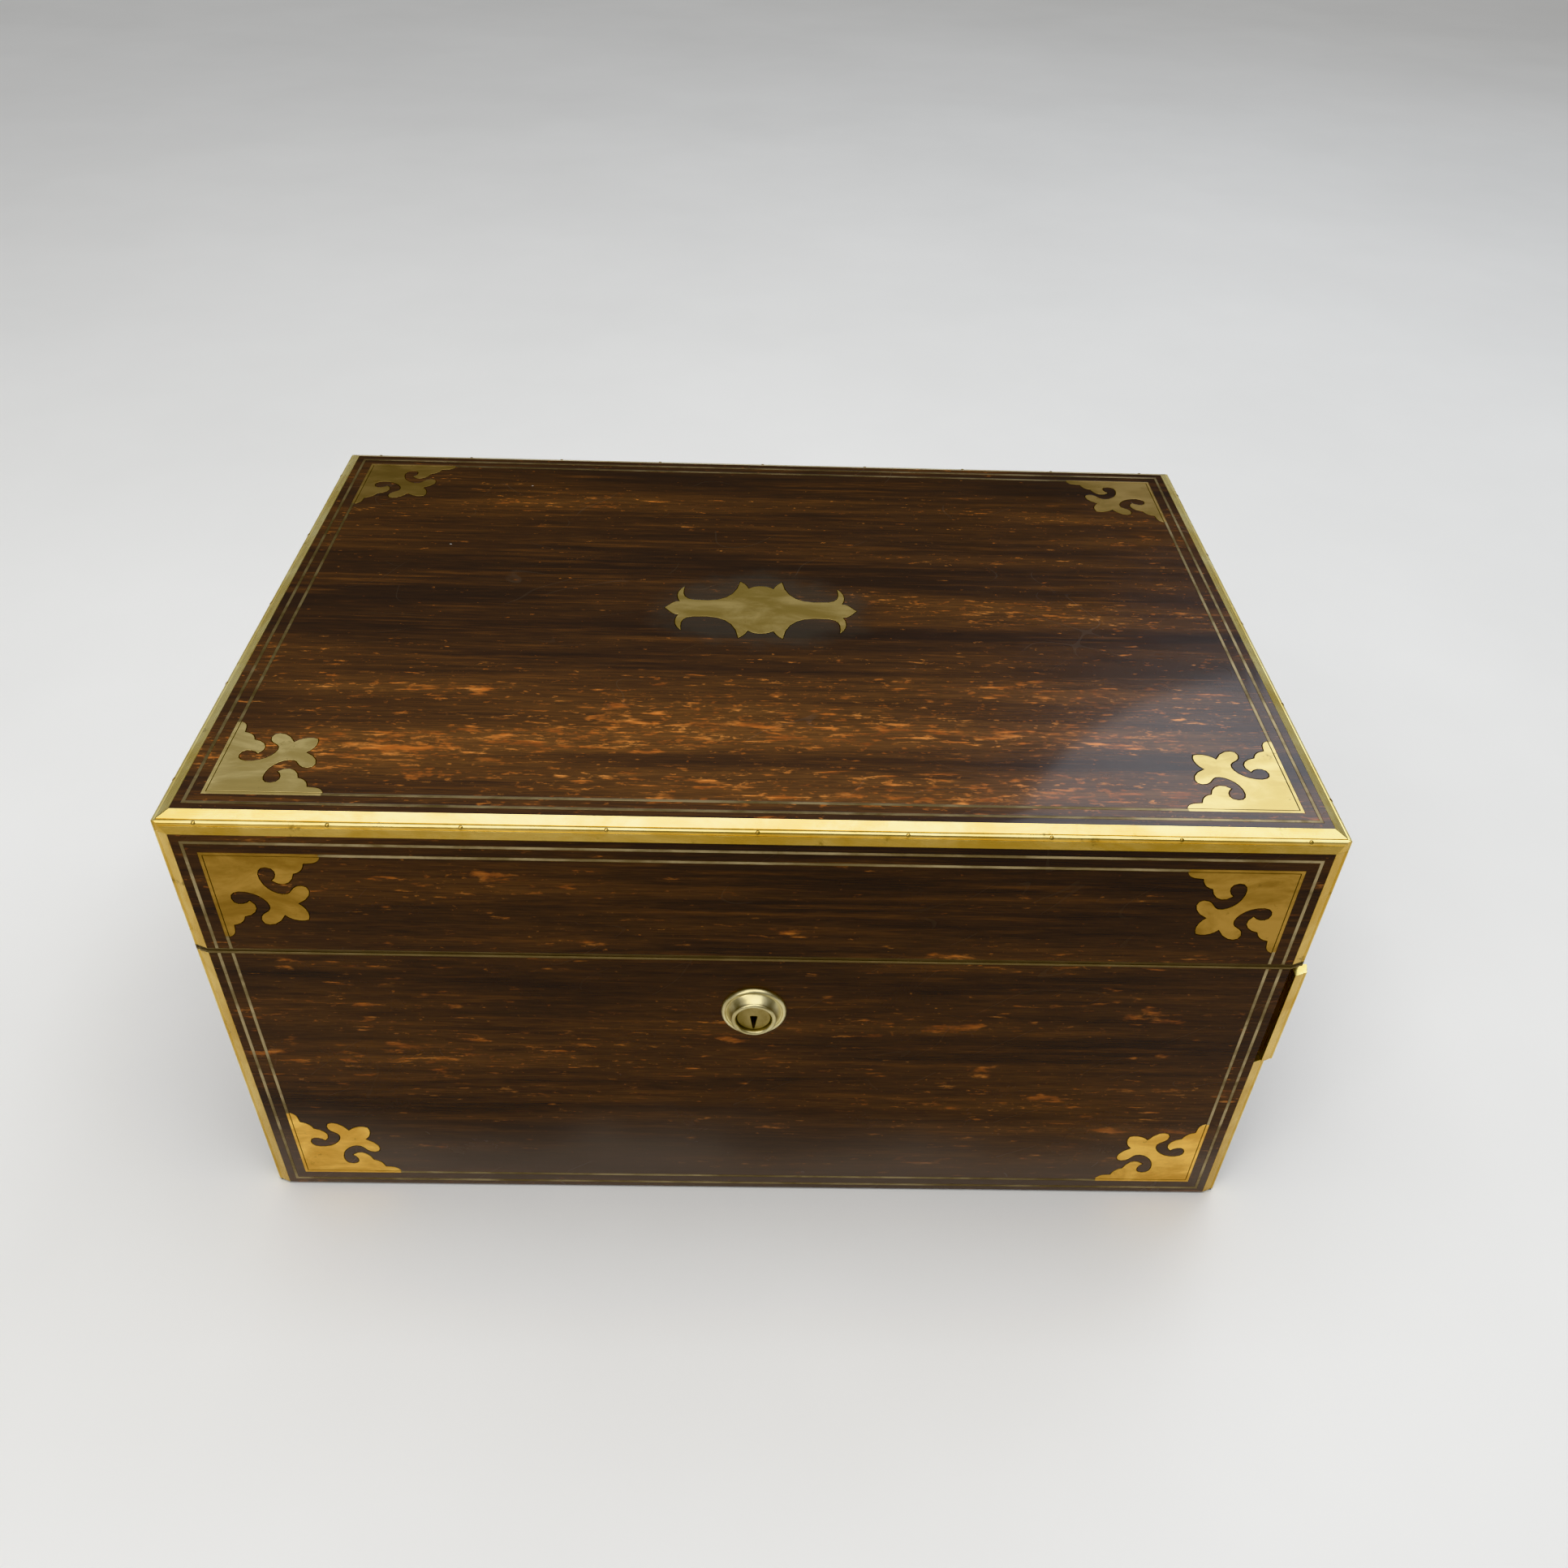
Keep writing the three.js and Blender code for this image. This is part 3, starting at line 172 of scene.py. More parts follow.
class Finish:
    """A material, and short names for the nodes that it is made of."""

    def __init__(self, name):
        self.material = bpy.data.materials.new(name)
        self.material.use_nodes = True
        self.tree = self.material.node_tree
        self.shader = self.tree.nodes["Principled BSDF"]

    def join(self, value, socket):
        if isinstance(value, bpy.types.NodeSocket):
            self.tree.links.new(value, socket)
        else:
            socket.default_value = value

    def feed(self, node, **inputs):
        """Links each named input of a node to a socket, or sets it to a plain value."""
        for name, value in inputs.items():
            self.join(value, node.inputs[name.replace("_", " ")])
        return node

    def set(self, **inputs):
        self.feed(self.shader, **inputs)

    def node(self, kind, **inputs):
        return self.feed(self.tree.nodes.new("ShaderNode" + kind), **inputs)

    def place(self, scale=(1, 1, 1), shift=(0, 0, 0), turn=None):
        """The surface point in the casket's frame, which moves with its piece."""
        point = self.node("TexCoord").outputs["Object"]
        if turn:
            rotate = self.node("VectorRotate")
            rotate.rotation_type = "EULER_XYZ"
            point = self.feed(rotate, Vector=point, Rotation=turn).outputs[0]
        return self.node("Mapping", Vector=point, Location=shift, Scale=scale).outputs[0]

    def along(self, axis, drawn, shift=(0, 0, 0)):
        """The surface point, scaled so that a pattern is drawn out along one axis."""
        return self.place([1 if i == axis else drawn for i in range(3)], shift)

    def facing(self):
        """The way that the surface faces, in the casket's frame."""
        return self.axes(self.node("TexCoord").outputs["Normal"])

    def axes(self, vector=None):
        """The three axes of a vector, or else of the surface point."""
        vector = self.place() if vector is None else vector
        return self.node("SeparateXYZ", Vector=vector).outputs

    def noise(self, scale, detail=2, roughness=0.5, distortion=0, at=None):
        return self.node(
            "TexNoise", Vector=self.place() if at is None else at, Scale=scale,
            Detail=detail, Roughness=roughness, Distortion=distortion,
        ).outputs[0]

    def cells(self, place, scale, output="Distance", feature="F1"):
        node = self.node("TexVoronoi", Vector=place, Scale=scale)
        node.feature = feature
        return node.outputs[output]

    def wave(self, scale, distortion, axis):
        node = self.node("TexWave", Vector=self.place(), Scale=scale, Distortion=distortion)
        node.bands_direction = axis
        return node.outputs["Fac"]

    def ramp(self, value, stops):
        node = self.node("ValToRGB", Fac=value)
        ramp = node.color_ramp
        while len(ramp.elements) < len(stops):
            ramp.elements.new(1.0)
        for element, (position, color) in zip(ramp.elements, stops):
            element.position = position
            element.color = color
        return node.outputs["Color"]

    def step(self, value, low, high, most=1.0):
        """0 below low, most above high, smooth between; the other way round if low is higher."""
        node = self.node("MapRange", Value=value, From_Min=low, From_Max=high, To_Max=most)
        node.interpolation_type = "SMOOTHSTEP"
        return node.outputs["Result"]

    def span(self, value, to_low, to_high):
        return self.node("MapRange", Value=value, To_Min=to_low, To_Max=to_high).outputs["Result"]

    def math(self, operation, *values):
        node = self.node("Math")
        node.operation = operation
        for value, socket in zip(values, node.inputs):
            self.join(value, socket)
        return node.outputs[0]

    times = partialmethod(math, "MULTIPLY")
    plus = partialmethod(math, "ADD")
    minus = partialmethod(math, "SUBTRACT")
    most = partialmethod(math, "MAXIMUM")
    size_of = partialmethod(math, "ABSOLUTE")

    def mix(self, share, first, second, blend="MIX"):
        node = self.node("Mix")
        node.data_type = "RGBA"
        node.blend_type = blend
        self.feed(node, Factor=share)
        colors = {socket.name: socket for socket in node.inputs if socket.type == "RGBA"}
        self.join(first, colors["A"])
        self.join(second, colors["B"])
        return next(socket for socket in node.outputs if socket.type == "RGBA")

    def bump(self, height, distance, strength=1.0, under=None):
        node = self.node("Bump", Height=height, Distance=distance, Strength=strength)
        if under is not None:
            self.feed(node, Normal=under)
        return node.outputs["Normal"]


# How deep the relief of each finish is, for brass that of its patches and of its rubbing
POLISH_RELIEF = 0.35 * MM
PORE_RELIEF = 0.03 * MM
MAHOGANY_RELIEF = 0.06 * MM
PATCH_RELIEF = 0.05 * MM
RUB_RELIEF = 0.02 * MM
LEATHER_RELIEF = 0.25 * MM
VELVET_RELIEF = 0.35 * MM
SILK_RELIEF = 0.08 * MM
FELT_RELIEF = 0.4 * MM

# A band where the wood's tone and flecks are lifted or lowered: where it starts and ends on
# one axis, how far it fades out beyond, how far it reaches from the middle, and how much it adds to
# the tone
Band = namedtuple("Band", "axis low high fade reach more")
BAND_END_SHARE = 0.8
# Painted light across the front of the top, and painted shade over its back
TOP_LIGHT_AND_SHADE_BANDS = (
    Band("Y", -0.094, -0.048, 0.012, 0.165, 0.09),
    Band("Y", -0.005, 0.12, 0.035, 0.3, -0.075),
)
# A lighter band low on the front, and a darker one across the lid's front
FRONT_BANDS = (
    Band("Z", 0.055, 0.095, 0.015, 0.3, 0.025),
    Band("Z", 0.13, 0.18, 0.012, 0.3, -0.045),
)

# One size of fleck: how drawn out along the grain and how shifted, its noise, how much it
# follows the broad tone, the levels between which it comes in, and its strength
Flecks = namedtuple("Flecks", "drawn shift noise follow low high strength")
FLECK_SIZES = (
    Flecks(2.5, (0, 0, 0), (300, 4, 0.6), 0.35, 0.8, 0.9, 0.7),
    Flecks(6, (0, 0, 0), (85, 5, 0.62, 0.1), 0.42, 0.825, 0.945, 1.0),
    Flecks(3, (0.4, 0.1, 0.2), (46, 5, 0.6, 0.15), 0.4, 0.845, 0.95, 1.0),
)
PLAIN_FLECKS = 0.55
GROUND_TONES = [
    (0.34, srgb(42, 25, 11)), (0.46, srgb(60, 37, 16)),
    (0.57, srgb(79, 50, 22)), (0.72, srgb(102, 67, 32)),
]
FLECK_TONES = [(0.34, srgb(140, 76, 28)), (0.5, srgb(184, 106, 42)), (0.66, srgb(226, 148, 74))]


def coromandel_color(finish, axis, bands=(), flecks=PLAIN_FLECKS):
    """Dark wood with brown fibres and hazel flecks, its grain along the axis, and its pores."""
    broad = finish.noise(4.2, 6, 0.6, 0.3, at=finish.along(axis, 12))
    # The bands lift or lower the broad tone: on the top they paint light at the front and shade at
    # the back
    for band in bands:
        axes = finish.axes()
        from_low = finish.step(axes[band.axis], band.low - band.fade, band.low)
        to_high = finish.step(axes[band.axis], band.high + band.fade, band.high)
        near = finish.step(finish.size_of(axes["X"]), band.reach, band.reach * BAND_END_SHARE)
        inside = finish.times(finish.times(from_low, to_high), near)
        broad = finish.plus(broad, finish.times(inside, band.more))
    ground = finish.ramp(broad, GROUND_TONES)
    fibres = finish.noise(15, 6, 0.7, 0.2, at=finish.along(axis, 26))
    color = finish.mix(finish.step(fibres, 0.5, 0.72, 0.4), ground, srgb(122, 76, 30))
    color = finish.mix(finish.step(fibres, 0.5, 0.3, 0.42), color, srgb(18, 10, 5))
    hazel = finish.ramp(finish.noise(70, 3, 0.6, at=finish.along(axis, 3)), FLECK_TONES)
    for size in FLECK_SIZES:
        spots = finish.noise(*size.noise, at=finish.along(axis, size.drawn, size.shift))
        level = finish.plus(spots, finish.times(broad, size.follow))
        share = finish.step(level, size.low, size.high, flecks * size.strength)
        color = finish.mix(share, color, hazel)
    pores = finish.noise(110, 2, 0.6, at=finish.along(axis, 24))
    return finish.mix(finish.step(pores, 0.58, 0.42, 0.36), color, srgb(16, 9, 5)), pores


def polish(finish, pores):
    """Old French polish: its smears, and its bump of soft waves over the wood's pores."""
    waves = finish.bump(finish.noise(22, 2), POLISH_RELIEF, 0.5)
    return finish.noise(38, 5, 0.65, 0.6), finish.bump(pores, PORE_RELIEF, 0.5, waves)


def hairlines(finish, turn, shift):
    """Long thin scratches: the level lines of a noise drawn out one way, cut short by another."""
    slow = finish.noise(60, 0, at=finish.place((0.12, 1, 1), shift, turn))
    line = finish.step(finish.size_of(finish.minus(slow, 0.5)), 0.006, 0.002)
    short = finish.step(finish.noise(31, 1, at=finish.place(shift=shift)), 0.60, 0.66)
    return finish.times(line, short)


def dust(finish):
    """Specks of dust: the middles of a few cells."""
    place = finish.place((1, 1.5, 1.5))
    specks = finish.step(finish.cells(place, 44), 0.035, 0.02)
    chosen = finish.step(finish.axes(finish.cells(place, 44, "Color"))[0], 0.955, 0.965)
    return finish.times(specks, chosen)


def make_veneer(name, axis, bands, painted_reflection, reflection_color, flecks, coat, specular):
    finish = Finish(name)
    color, pores = coromandel_color(finish, axis, bands, flecks)
    smears, normal = polish(finish, pores)
    # Painted reflection: a grey haze on the top round the cartouche, or the floor's reflection low on
    # the front
    color = finish.mix(painted_reflection(finish), color, reflection_color)
    first = hairlines(finish, (0.5, 0.5, 0.5), (0.21, 0.4, 0.1))
    second = hairlines(finish, (-0.4, 0.3, -0.6), (0.6, 0.2, 0.3))
    scratches = finish.most(first, second)
    color = finish.mix(finish.times(scratches, 0.08), color, srgb(120, 108, 92))
    color = finish.mix(dust(finish), color, srgb(225, 222, 214))
    rough = finish.plus(finish.span(smears, 0.16, 0.34), finish.times(scratches, 0.2))
    finish.set(Base_Color=color, Roughness=rough, Normal=normal)
    finish.set(Coat_Weight=coat, Coat_Roughness=0.07, Specular_IOR_Level=specular)
    return finish.material


# How far the painted reflection round the cartouche reaches, and where the painted floor reflection
# low on the front ends and fades
REFLECTION_REACH = CARTOUCHE_HIGH.x * 1.2, CARTOUCHE_HIGH.y * 1.4
FOOT_REFLECTION_TOP = 52 * MM
FOOT_REFLECTION_FULL = 6 * MM
FOOT_REFLECTION_RAGGED = 20 * MM


def cartouche_reflection(finish):
    """A painted reflection: a grey haze over the polish that lies round the cartouche."""
    axes = finish.axes()
    east, north = [
        finish.math("POWER", finish.size_of(finish.math("DIVIDE", axes[i], REFLECTION_REACH[i])), 2)
        for i in (X_AXIS, Y_AXIS)
    ]
    patchy = finish.span(finish.noise(60, 4, 0.7), -0.7, 0.7)
    return finish.step(finish.plus(finish.plus(east, north), patchy), 1.2, 0.3, 0.55)


def foot_floor_reflection(finish):
    """A painted reflection of the floor: the front is greyer near its foot."""
    ragged = finish.span(finish.noise(14), -FOOT_REFLECTION_RAGGED, FOOT_REFLECTION_RAGGED)
    height = finish.plus(finish.axes()["Z"], ragged)
    return finish.step(height, FOOT_REFLECTION_TOP, FOOT_REFLECTION_FULL, 0.62)


# How thick the side and back boards' own veneer is, and how soft its edge
SKIN = 1.4 * MM
SKIN_EDGE = 0.1 * MM


def make_cased_board(name, axis):
    """Mahogany inside, veneered where it reaches the outer face."""
    finish = Finish(name)
    axes = finish.axes()
    x_inside, y_inside = HALF_WIDTH - SKIN, HALF_DEPTH - SKIN
    side = finish.step(finish.size_of(axes["X"]), x_inside, x_inside + SKIN_EDGE)
    back = finish.step(axes["Y"], y_inside, y_inside + SKIN_EDGE)
    outer = finish.most(side, back)
    veneer, pores = coromandel_color(finish, axis)
    smears, normal = polish(finish, pores)
    rough = finish.plus(
        finish.span(smears, 0.17, 0.34), finish.times(finish.minus(1, outer), 0.18)
    )
    color = finish.mix(outer, mahogany_color(finish, axis)[0], veneer)
    finish.set(Base_Color=color, Roughness=rough, Normal=normal)
    finish.set(Coat_Weight=0.45, Coat_Roughness=0.08, Specular_IOR_Level=0.42)
    return finish.material


MAHOGANY_TONES = [(0.32, srgb(52, 22, 12)), (0.5, srgb(88, 40, 22)), (0.68, srgb(122, 62, 34))]


def mahogany_color(finish, axis):
    """Mahogany with a ribbon figure along the axis, and its pores."""
    ribbon = finish.noise(6, 6, 0.6, 0.4, at=finish.along(axis, 10))
    pores = finish.noise(150, 2, 0.6, at=finish.along(axis, 16))
    color = finish.ramp(ribbon, MAHOGANY_TONES)
    return finish.mix(finish.step(pores, 0.6, 0.45, 0.4), color, srgb(34, 13, 8)), pores


def make_mahogany(name, axis):
    finish = Finish(name)
    color, pores = mahogany_color(finish, axis)
    normal = finish.bump(pores, MAHOGANY_RELIEF, 0.6)
    finish.set(Base_Color=color, Roughness=finish.span(pores, 0.34, 0.56), Normal=normal)
    finish.set(Specular_IOR_Level=0.4)
    return finish.material


# The least and the most roughness of each kind of brass
EDGING_ROUGH = 0.2, 0.36
TOP_PLATE_ROUGH = 0.28, 0.42
FRONT_PLATE_ROUGH = 0.26, 0.42
LINE_ROUGH = 0.3, 0.45
RIM_ROUGH = 0.35, 0.5
LOCK_ROUGH = 0.28, 0.44
PLUG_ROUGH = 0.3, 0.46
SCREW_ROUGH = 0.26, 0.44
GRIME_ROUGH = 0.5, 0.7

# How strong the stains are: on most brass, on the thin lines and pins, and on the rims
TARNISH = 0.5
THIN_TARNISH = 0.3
RIM_TARNISH = 0.35


def make_brass(
    name, light, dark, axis, rough=EDGING_ROUGH, tarnish=TARNISH, front_shade=None, near=(),
    metal=1.0,
):
    """Handled brass: lighter and darker patches, stains, and rubbing along the axis. It may carry
    painted shade where it faces the front, and near the plates that it runs along take their tones,
    with the painted light and shade in them."""
    finish = Finish(name)
    patches = finish.noise(42, 5, 0.65, 0.4, at=finish.along(axis, 2))
    rubbed = finish.noise(60, 3, 0.6, at=finish.along(axis, 22))
    patchy = finish.step(patches, 0.35, 0.66)
    color = finish.mix(patchy, dark, light)
    for mask, near_light, near_dark in near:
        color = finish.mix(mask(finish), color, finish.mix(patchy, near_dark, near_light))
    if front_shade:
        front = finish.step(finish.facing()["Y"], -0.8, -0.96)
        color = finish.mix(front, color, front_shade, "MULTIPLY")
    stain = finish.step(finish.noise(160, 4, 0.7), 0.62, 0.74)
    color = finish.mix(finish.times(stain, tarnish), color, srgb(92, 70, 36))
    finish.set(
        Base_Color=color, Metallic=metal,
        Roughness=finish.plus(finish.span(rubbed, *rough), finish.times(stain, 0.14)),
        Normal=finish.bump(patches, PATCH_RELIEF, 0.22, finish.bump(rubbed, RUB_RELIEF, 0.4)),
    )
    return finish.material


PLATE_END_SOFT = 0.5 * MM


def beyond(plate, lines, second):
    """Where a line runs along a corner plate and the one across from it: past their inner ends."""
    low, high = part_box(plate)
    line_low, line_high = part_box(lines)
    reach = min(abs(low.x), abs(high.x))
    near_high = abs(high[second] - line_high[second]) < abs(low[second] - line_low[second])
    end = low[second] if near_high else high[second]
    soft = PLATE_END_SOFT if near_high else -PLATE_END_SOFT

    def mask(finish):
        axes = finish.axes()
        out = finish.step(finish.size_of(axes["X"]), reach, reach + PLATE_END_SOFT)
        return finish.times(out, finish.step(axes[second], end, end + soft))

    return mask


def make_steel(name):
    finish = Finish(name)
    patches = finish.noise(300, 3, 0.6)
    tones = [(0.4, srgb(112, 110, 108)), (0.65, srgb(168, 166, 162))]
    rough = finish.span(patches, 0.25, 0.5)
    finish.set(Base_Color=finish.ramp(patches, tones), Roughness=rough, Metallic=1.0)
    return finish.material


def framed(finish, half_x, half_y, width):
    """A thin line along a rectangle round the casket's middle."""
    axes = finish.axes()
    east = finish.minus(finish.size_of(axes["X"]), half_x)
    north = finish.minus(finish.size_of(axes["Y"]), half_y)
    return finish.step(finish.size_of(finish.most(east, north)), width * 0.6, width * 0.4)


def make_leather(name, dark, light, gilt_lines):
    """Fine grained leather, tooled with gilt lines, each given as its half sizes and its width."""
    finish = Finish(name)
    pebbles = finish.cells(finish.place(), 900, feature="SMOOTH_F1")
    fine = finish.noise(1500, 3, 0.6)
    color = finish.mix(finish.step(finish.noise(30, 4, 0.6), 0.3, 0.7), dark, light)
    color = finish.mix(finish.step(pebbles, 0.3, 0.6, 0.35), color, srgb(20, 6, 7))
    gilt = 0.0
    for half_x, half_y, width in gilt_lines:
        gilt = finish.most(gilt, framed(finish, half_x, half_y, width))
    worn = finish.step(finish.noise(220, 4, 0.7), 0.36, 0.46)
    level = finish.size_of(finish.facing()["Z"])
    gilt = finish.times(finish.times(gilt, worn), finish.step(level, 0.7, 0.9))
    height = finish.plus(finish.times(pebbles, -1), finish.times(fine, 0.3))
    finish.set(
        Base_Color=finish.mix(gilt, color, srgb(206, 170, 92)), Metallic=gilt,
        Roughness=finish.minus(finish.span(fine, 0.42, 0.66), finish.times(gilt, 0.16)),
        Normal=finish.bump(height, LEATHER_RELIEF, 0.6),
    )
    return finish.material


def make_velvet(name, dark, light):
    """Short pile with brushed patches."""
    finish = Finish(name)
    pile = finish.noise(2200, 2, 0.7)
    brushed = finish.step(finish.noise(55, 4, 0.6, 0.8), 0.35, 0.68)
    color = finish.mix(finish.times(pile, 0.35), finish.mix(brushed, dark, light), dark)
    finish.set(Base_Color=color, Normal=finish.bump(pile, VELVET_RELIEF, 0.7))
    finish.set(Roughness=0.95, Sheen_Weight=0.7, Sheen_Roughness=0.35, Sheen_Tint=light)
    return finish.material


def make_silk(name, dark, light):
    """A ribbed silk: fine cross threads over a soft satin ground."""
    finish = Finish(name)
    tone = finish.noise(24, 4, 0.6)
    warp = finish.wave(420, 0.4, "X")
    weft = finish.wave(560, 0.4, "Y")
    color = finish.mix(finish.span(tone, 0.45, 0.85), dark, light)
    color = finish.mix(finish.times(warp, 0.25), color, dark)
    normal = finish.bump(finish.plus(warp, weft), SILK_RELIEF, 0.7)
    finish.set(Base_Color=color, Roughness=finish.span(tone, 0.36, 0.5), Normal=normal)
    finish.set(Sheen_Weight=0.35, Sheen_Roughness=0.3, Specular_IOR_Level=0.45)
    return finish.material


def make_felt(name):
    finish = Finish(name)
    fibres = finish.noise(700, 4, 0.7, 1.0)
    color = finish.ramp(fibres, [(0.3, srgb(20, 34, 26)), (0.7, srgb(48, 74, 58))])
    finish.set(Base_Color=color, Normal=finish.bump(fibres, FELT_RELIEF, 0.8))
    finish.set(Roughness=1.0, Sheen_Weight=0.3)
    return finish.material


# Softened edges, and the finish of each solid

SMOOTH_LIMIT = math.radians(50)
BEVEL_LIMIT = math.radians(33)
FLAT_LIMIT = math.radians(0.4)
WELD_REACH = 0.001 * MM
EDGE_ROUND = 0.12 * MM
BOARD_ROUND = 0.2 * MM
LEAF_ROUND = 0.15 * MM
RIM_ROUND = 0.1 * MM
FINE_ROUND = 0.08 * MM
LINE_ROUND = 0.05 * MM
TRAY_ROUND = 0.5 * MM
LINING_ROUND = 0.6 * MM


def smooth_shading():
    """A modifier's node group that shades smooth across edges flatter than the limit."""
    group = bpy.data.node_groups.new("smooth_shading", "GeometryNodeTree")
    for way in ("INPUT", "OUTPUT"):
        group.interface.new_socket("Geometry", in_out=way, socket_type="NodeSocketGeometry")
    nodes, links = group.nodes, group.links
    start = nodes.new("NodeGroupInput")
    end = nodes.new("NodeGroupOutput")
    faces = nodes.new("GeometryNodeSetShadeSmooth")
    edges = nodes.new("GeometryNodeSetShadeSmooth")
    edges.domain = "EDGE"
    edges.inputs["Shade Smooth"].default_value = False
    angle = nodes.new("GeometryNodeInputMeshEdgeAngle")
    sharp = nodes.new("FunctionNodeCompare")
    sharp.operation = "GREATER_THAN"
    sharp.inputs["B"].default_value = SMOOTH_LIMIT
    links.new(angle.outputs["Unsigned Angle"], sharp.inputs["A"])
    links.new(start.outputs[0], faces.inputs["Geometry"])
    links.new(faces.outputs["Geometry"], edges.inputs["Geometry"])
    links.new(sharp.outputs["Result"], edges.inputs["Selection"])
    links.new(edges.outputs["Geometry"], end.inputs[0])
    return group


SHADING = smooth_shading()


def soften(node, radius, segments):
    """Rounds a solid's edges a little, and smooths its facets, by modifiers alone."""
    weld = node.modifiers.new("weld", "WELD")
    weld.merge_threshold = WELD_REACH
    flat = node.modifiers.new("flat", "DECIMATE")
    flat.decimate_type = "DISSOLVE"
    flat.angle_limit = FLAT_LIMIT
    bevel = node.modifiers.new("bevel", "BEVEL")
    bevel.width = radius
    bevel.segments = segments
    bevel.limit_method = "ANGLE"
    bevel.angle_limit = BEVEL_LIMIT
    shading = node.modifiers.new("shading", "NODES")
    shading.node_group = SHADING
    normals = node.modifiers.new("normals", "WEIGHTED_NORMAL")
    normals.keep_sharp = True


def dress(material, *names, radius=EDGE_ROUND, segments=2):
    """Gives the solids of these names a material, and rounds their edges if there is a radius."""
    for name in names:
        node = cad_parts[name]
        if not node.data.materials:
            node.data.materials.append(None)
        for slot in node.material_slots:
            slot.link = "OBJECT"
            slot.material = material
        if radius:
            soften(node, radius, segments)


def dress_wood():
    veneer_top = make_veneer(
        "veneer_top", X_AXIS, TOP_LIGHT_AND_SHADE_BANDS, cartouche_reflection, srgb(66, 62, 55),
        flecks=0.92, coat=0.45, specular=0.36,
    )
    veneer_front = make_veneer(
        "veneer_front", X_AXIS, FRONT_BANDS, foot_floor_reflection, srgb(118, 106, 96),
        flecks=0.78, coat=0.12, specular=0.2,
    )
    back = make_cased_board("cased_back", X_AXIS)
    side = make_cased_board("cased_side", Y_AXIS)
    mahogany = make_mahogany("mahogany_long", X_AXIS)
    dress(veneer_top, "lid_top_veneer")
    for half in ("base", "lid"):
        dress(veneer_front, f"{half}_front_veneer")
        dress(back, f"{half}_back_board", radius=0)
        dress(side, f"{half}_left_board", f"{half}_right_board", radius=0)
        dress(mahogany, f"{half}_front_board", radius=BOARD_ROUND)
    dress(mahogany, "base_bottom_board", "lid_top_board", "tray_rest_frame", radius=BOARD_ROUND)
    dress(make_felt("felt"), "base_felt")


def dress_edging():
    pale, gold = srgb(248, 234, 170), srgb(226, 202, 122)
    # Where the edging faces the front, it carries painted shade
    along_x, along_y, upright = [
        make_brass(f"edging_brass_{i}", pale, gold, i, front_shade=srgb(218, 196, 160), metal=metal)
        for i, metal in ((X_AXIS, 1.0), (Y_AXIS, 0.72), (Z_AXIS, 1.0))
    ]
    for side in ("left", "right"):
        dress(along_y, f"lid_edging_top_{side}")
        dress(upright, f"lid_edging_front_{side}", f"lid_edging_back_{side}")
        dress(upright, f"base_edging_back_{side}")
    dress(along_x, "lid_edging_top_front", "lid_edging_top_back")
    for corner in ("front_left", "front_right_lower", "front_right_sprung"):
        dress(upright, f"base_edging_{corner}")


# The corner plates: their light and dark tones, roughness, and how their solids' names start.
# The tones carry painted light and shade: lighter on the top's front plates and on the base's,
# darker on the top's back plates and on the lid's
Plates = namedtuple("Plates", "light dark rough solid")
LIT_AND_SHADED_PLATES = {
    "top_front": Plates(srgb(246, 226, 164), srgb(206, 184, 124), TOP_PLATE_ROUGH, "top_plate_front"),
    "top_back": Plates(srgb(190, 162, 108), srgb(156, 131, 82), TOP_PLATE_ROUGH, "top_plate_back"),
    "lid": Plates(srgb(178, 142, 80), srgb(138, 106, 54), FRONT_PLATE_ROUGH, "lid_plate"),
    "base": Plates(srgb(250, 208, 118), srgb(216, 168, 86), FRONT_PLATE_ROUGH, "base_plate"),
}

# The panels' stringing lines: the axis across each panel, and the plates that they run along
LINED_PANELS = {
    "top": (Y_AXIS, ("top_front", "top_back")),
    "lid": (Z_AXIS, ("lid",)),
    "base": (Z_AXIS, ("base",)),
}
LINE_FINISH = srgb(174, 157, 122), srgb(122, 107, 80), X_AXIS, LINE_ROUGH, THIN_TARNISH


def dress_inlays():
    cartouche_tones = srgb(220, 196, 134), srgb(182, 158, 100)
    cartouche = make_brass("cartouche_brass", *cartouche_tones, X_AXIS, TOP_PLATE_ROUGH)
    dress(cartouche, "top_cartouche", radius=FINE_ROUND)
    for name, plates in LIT_AND_SHADED_PLATES.items():
        brass = make_brass(f"inlay_{name}_brass", plates.light, plates.dark, X_AXIS, plates.rough)
        dress(brass, f"{plates.solid}_left", f"{plates.solid}_right", radius=FINE_ROUND)
    outer = make_brass("line_brass", *LINE_FINISH)
    for panel, (across, names) in LINED_PANELS.items():
        line = f"{panel}_stringing_inner"
        # Past the plates' inner ends the inner line takes their tones, with the painted light and
        # shade in them
        near = [
            (beyond(f"{plates.solid}_right", line, across), plates.light, plates.dark)
            for plates in (LIT_AND_SHADED_PLATES[name] for name in names)
        ]
        dress(make_brass(f"line_{panel}_brass", *LINE_FINISH, near=near), line, radius=LINE_ROUND)
        dress(outer, f"{panel}_stringing_outer", radius=LINE_ROUND)


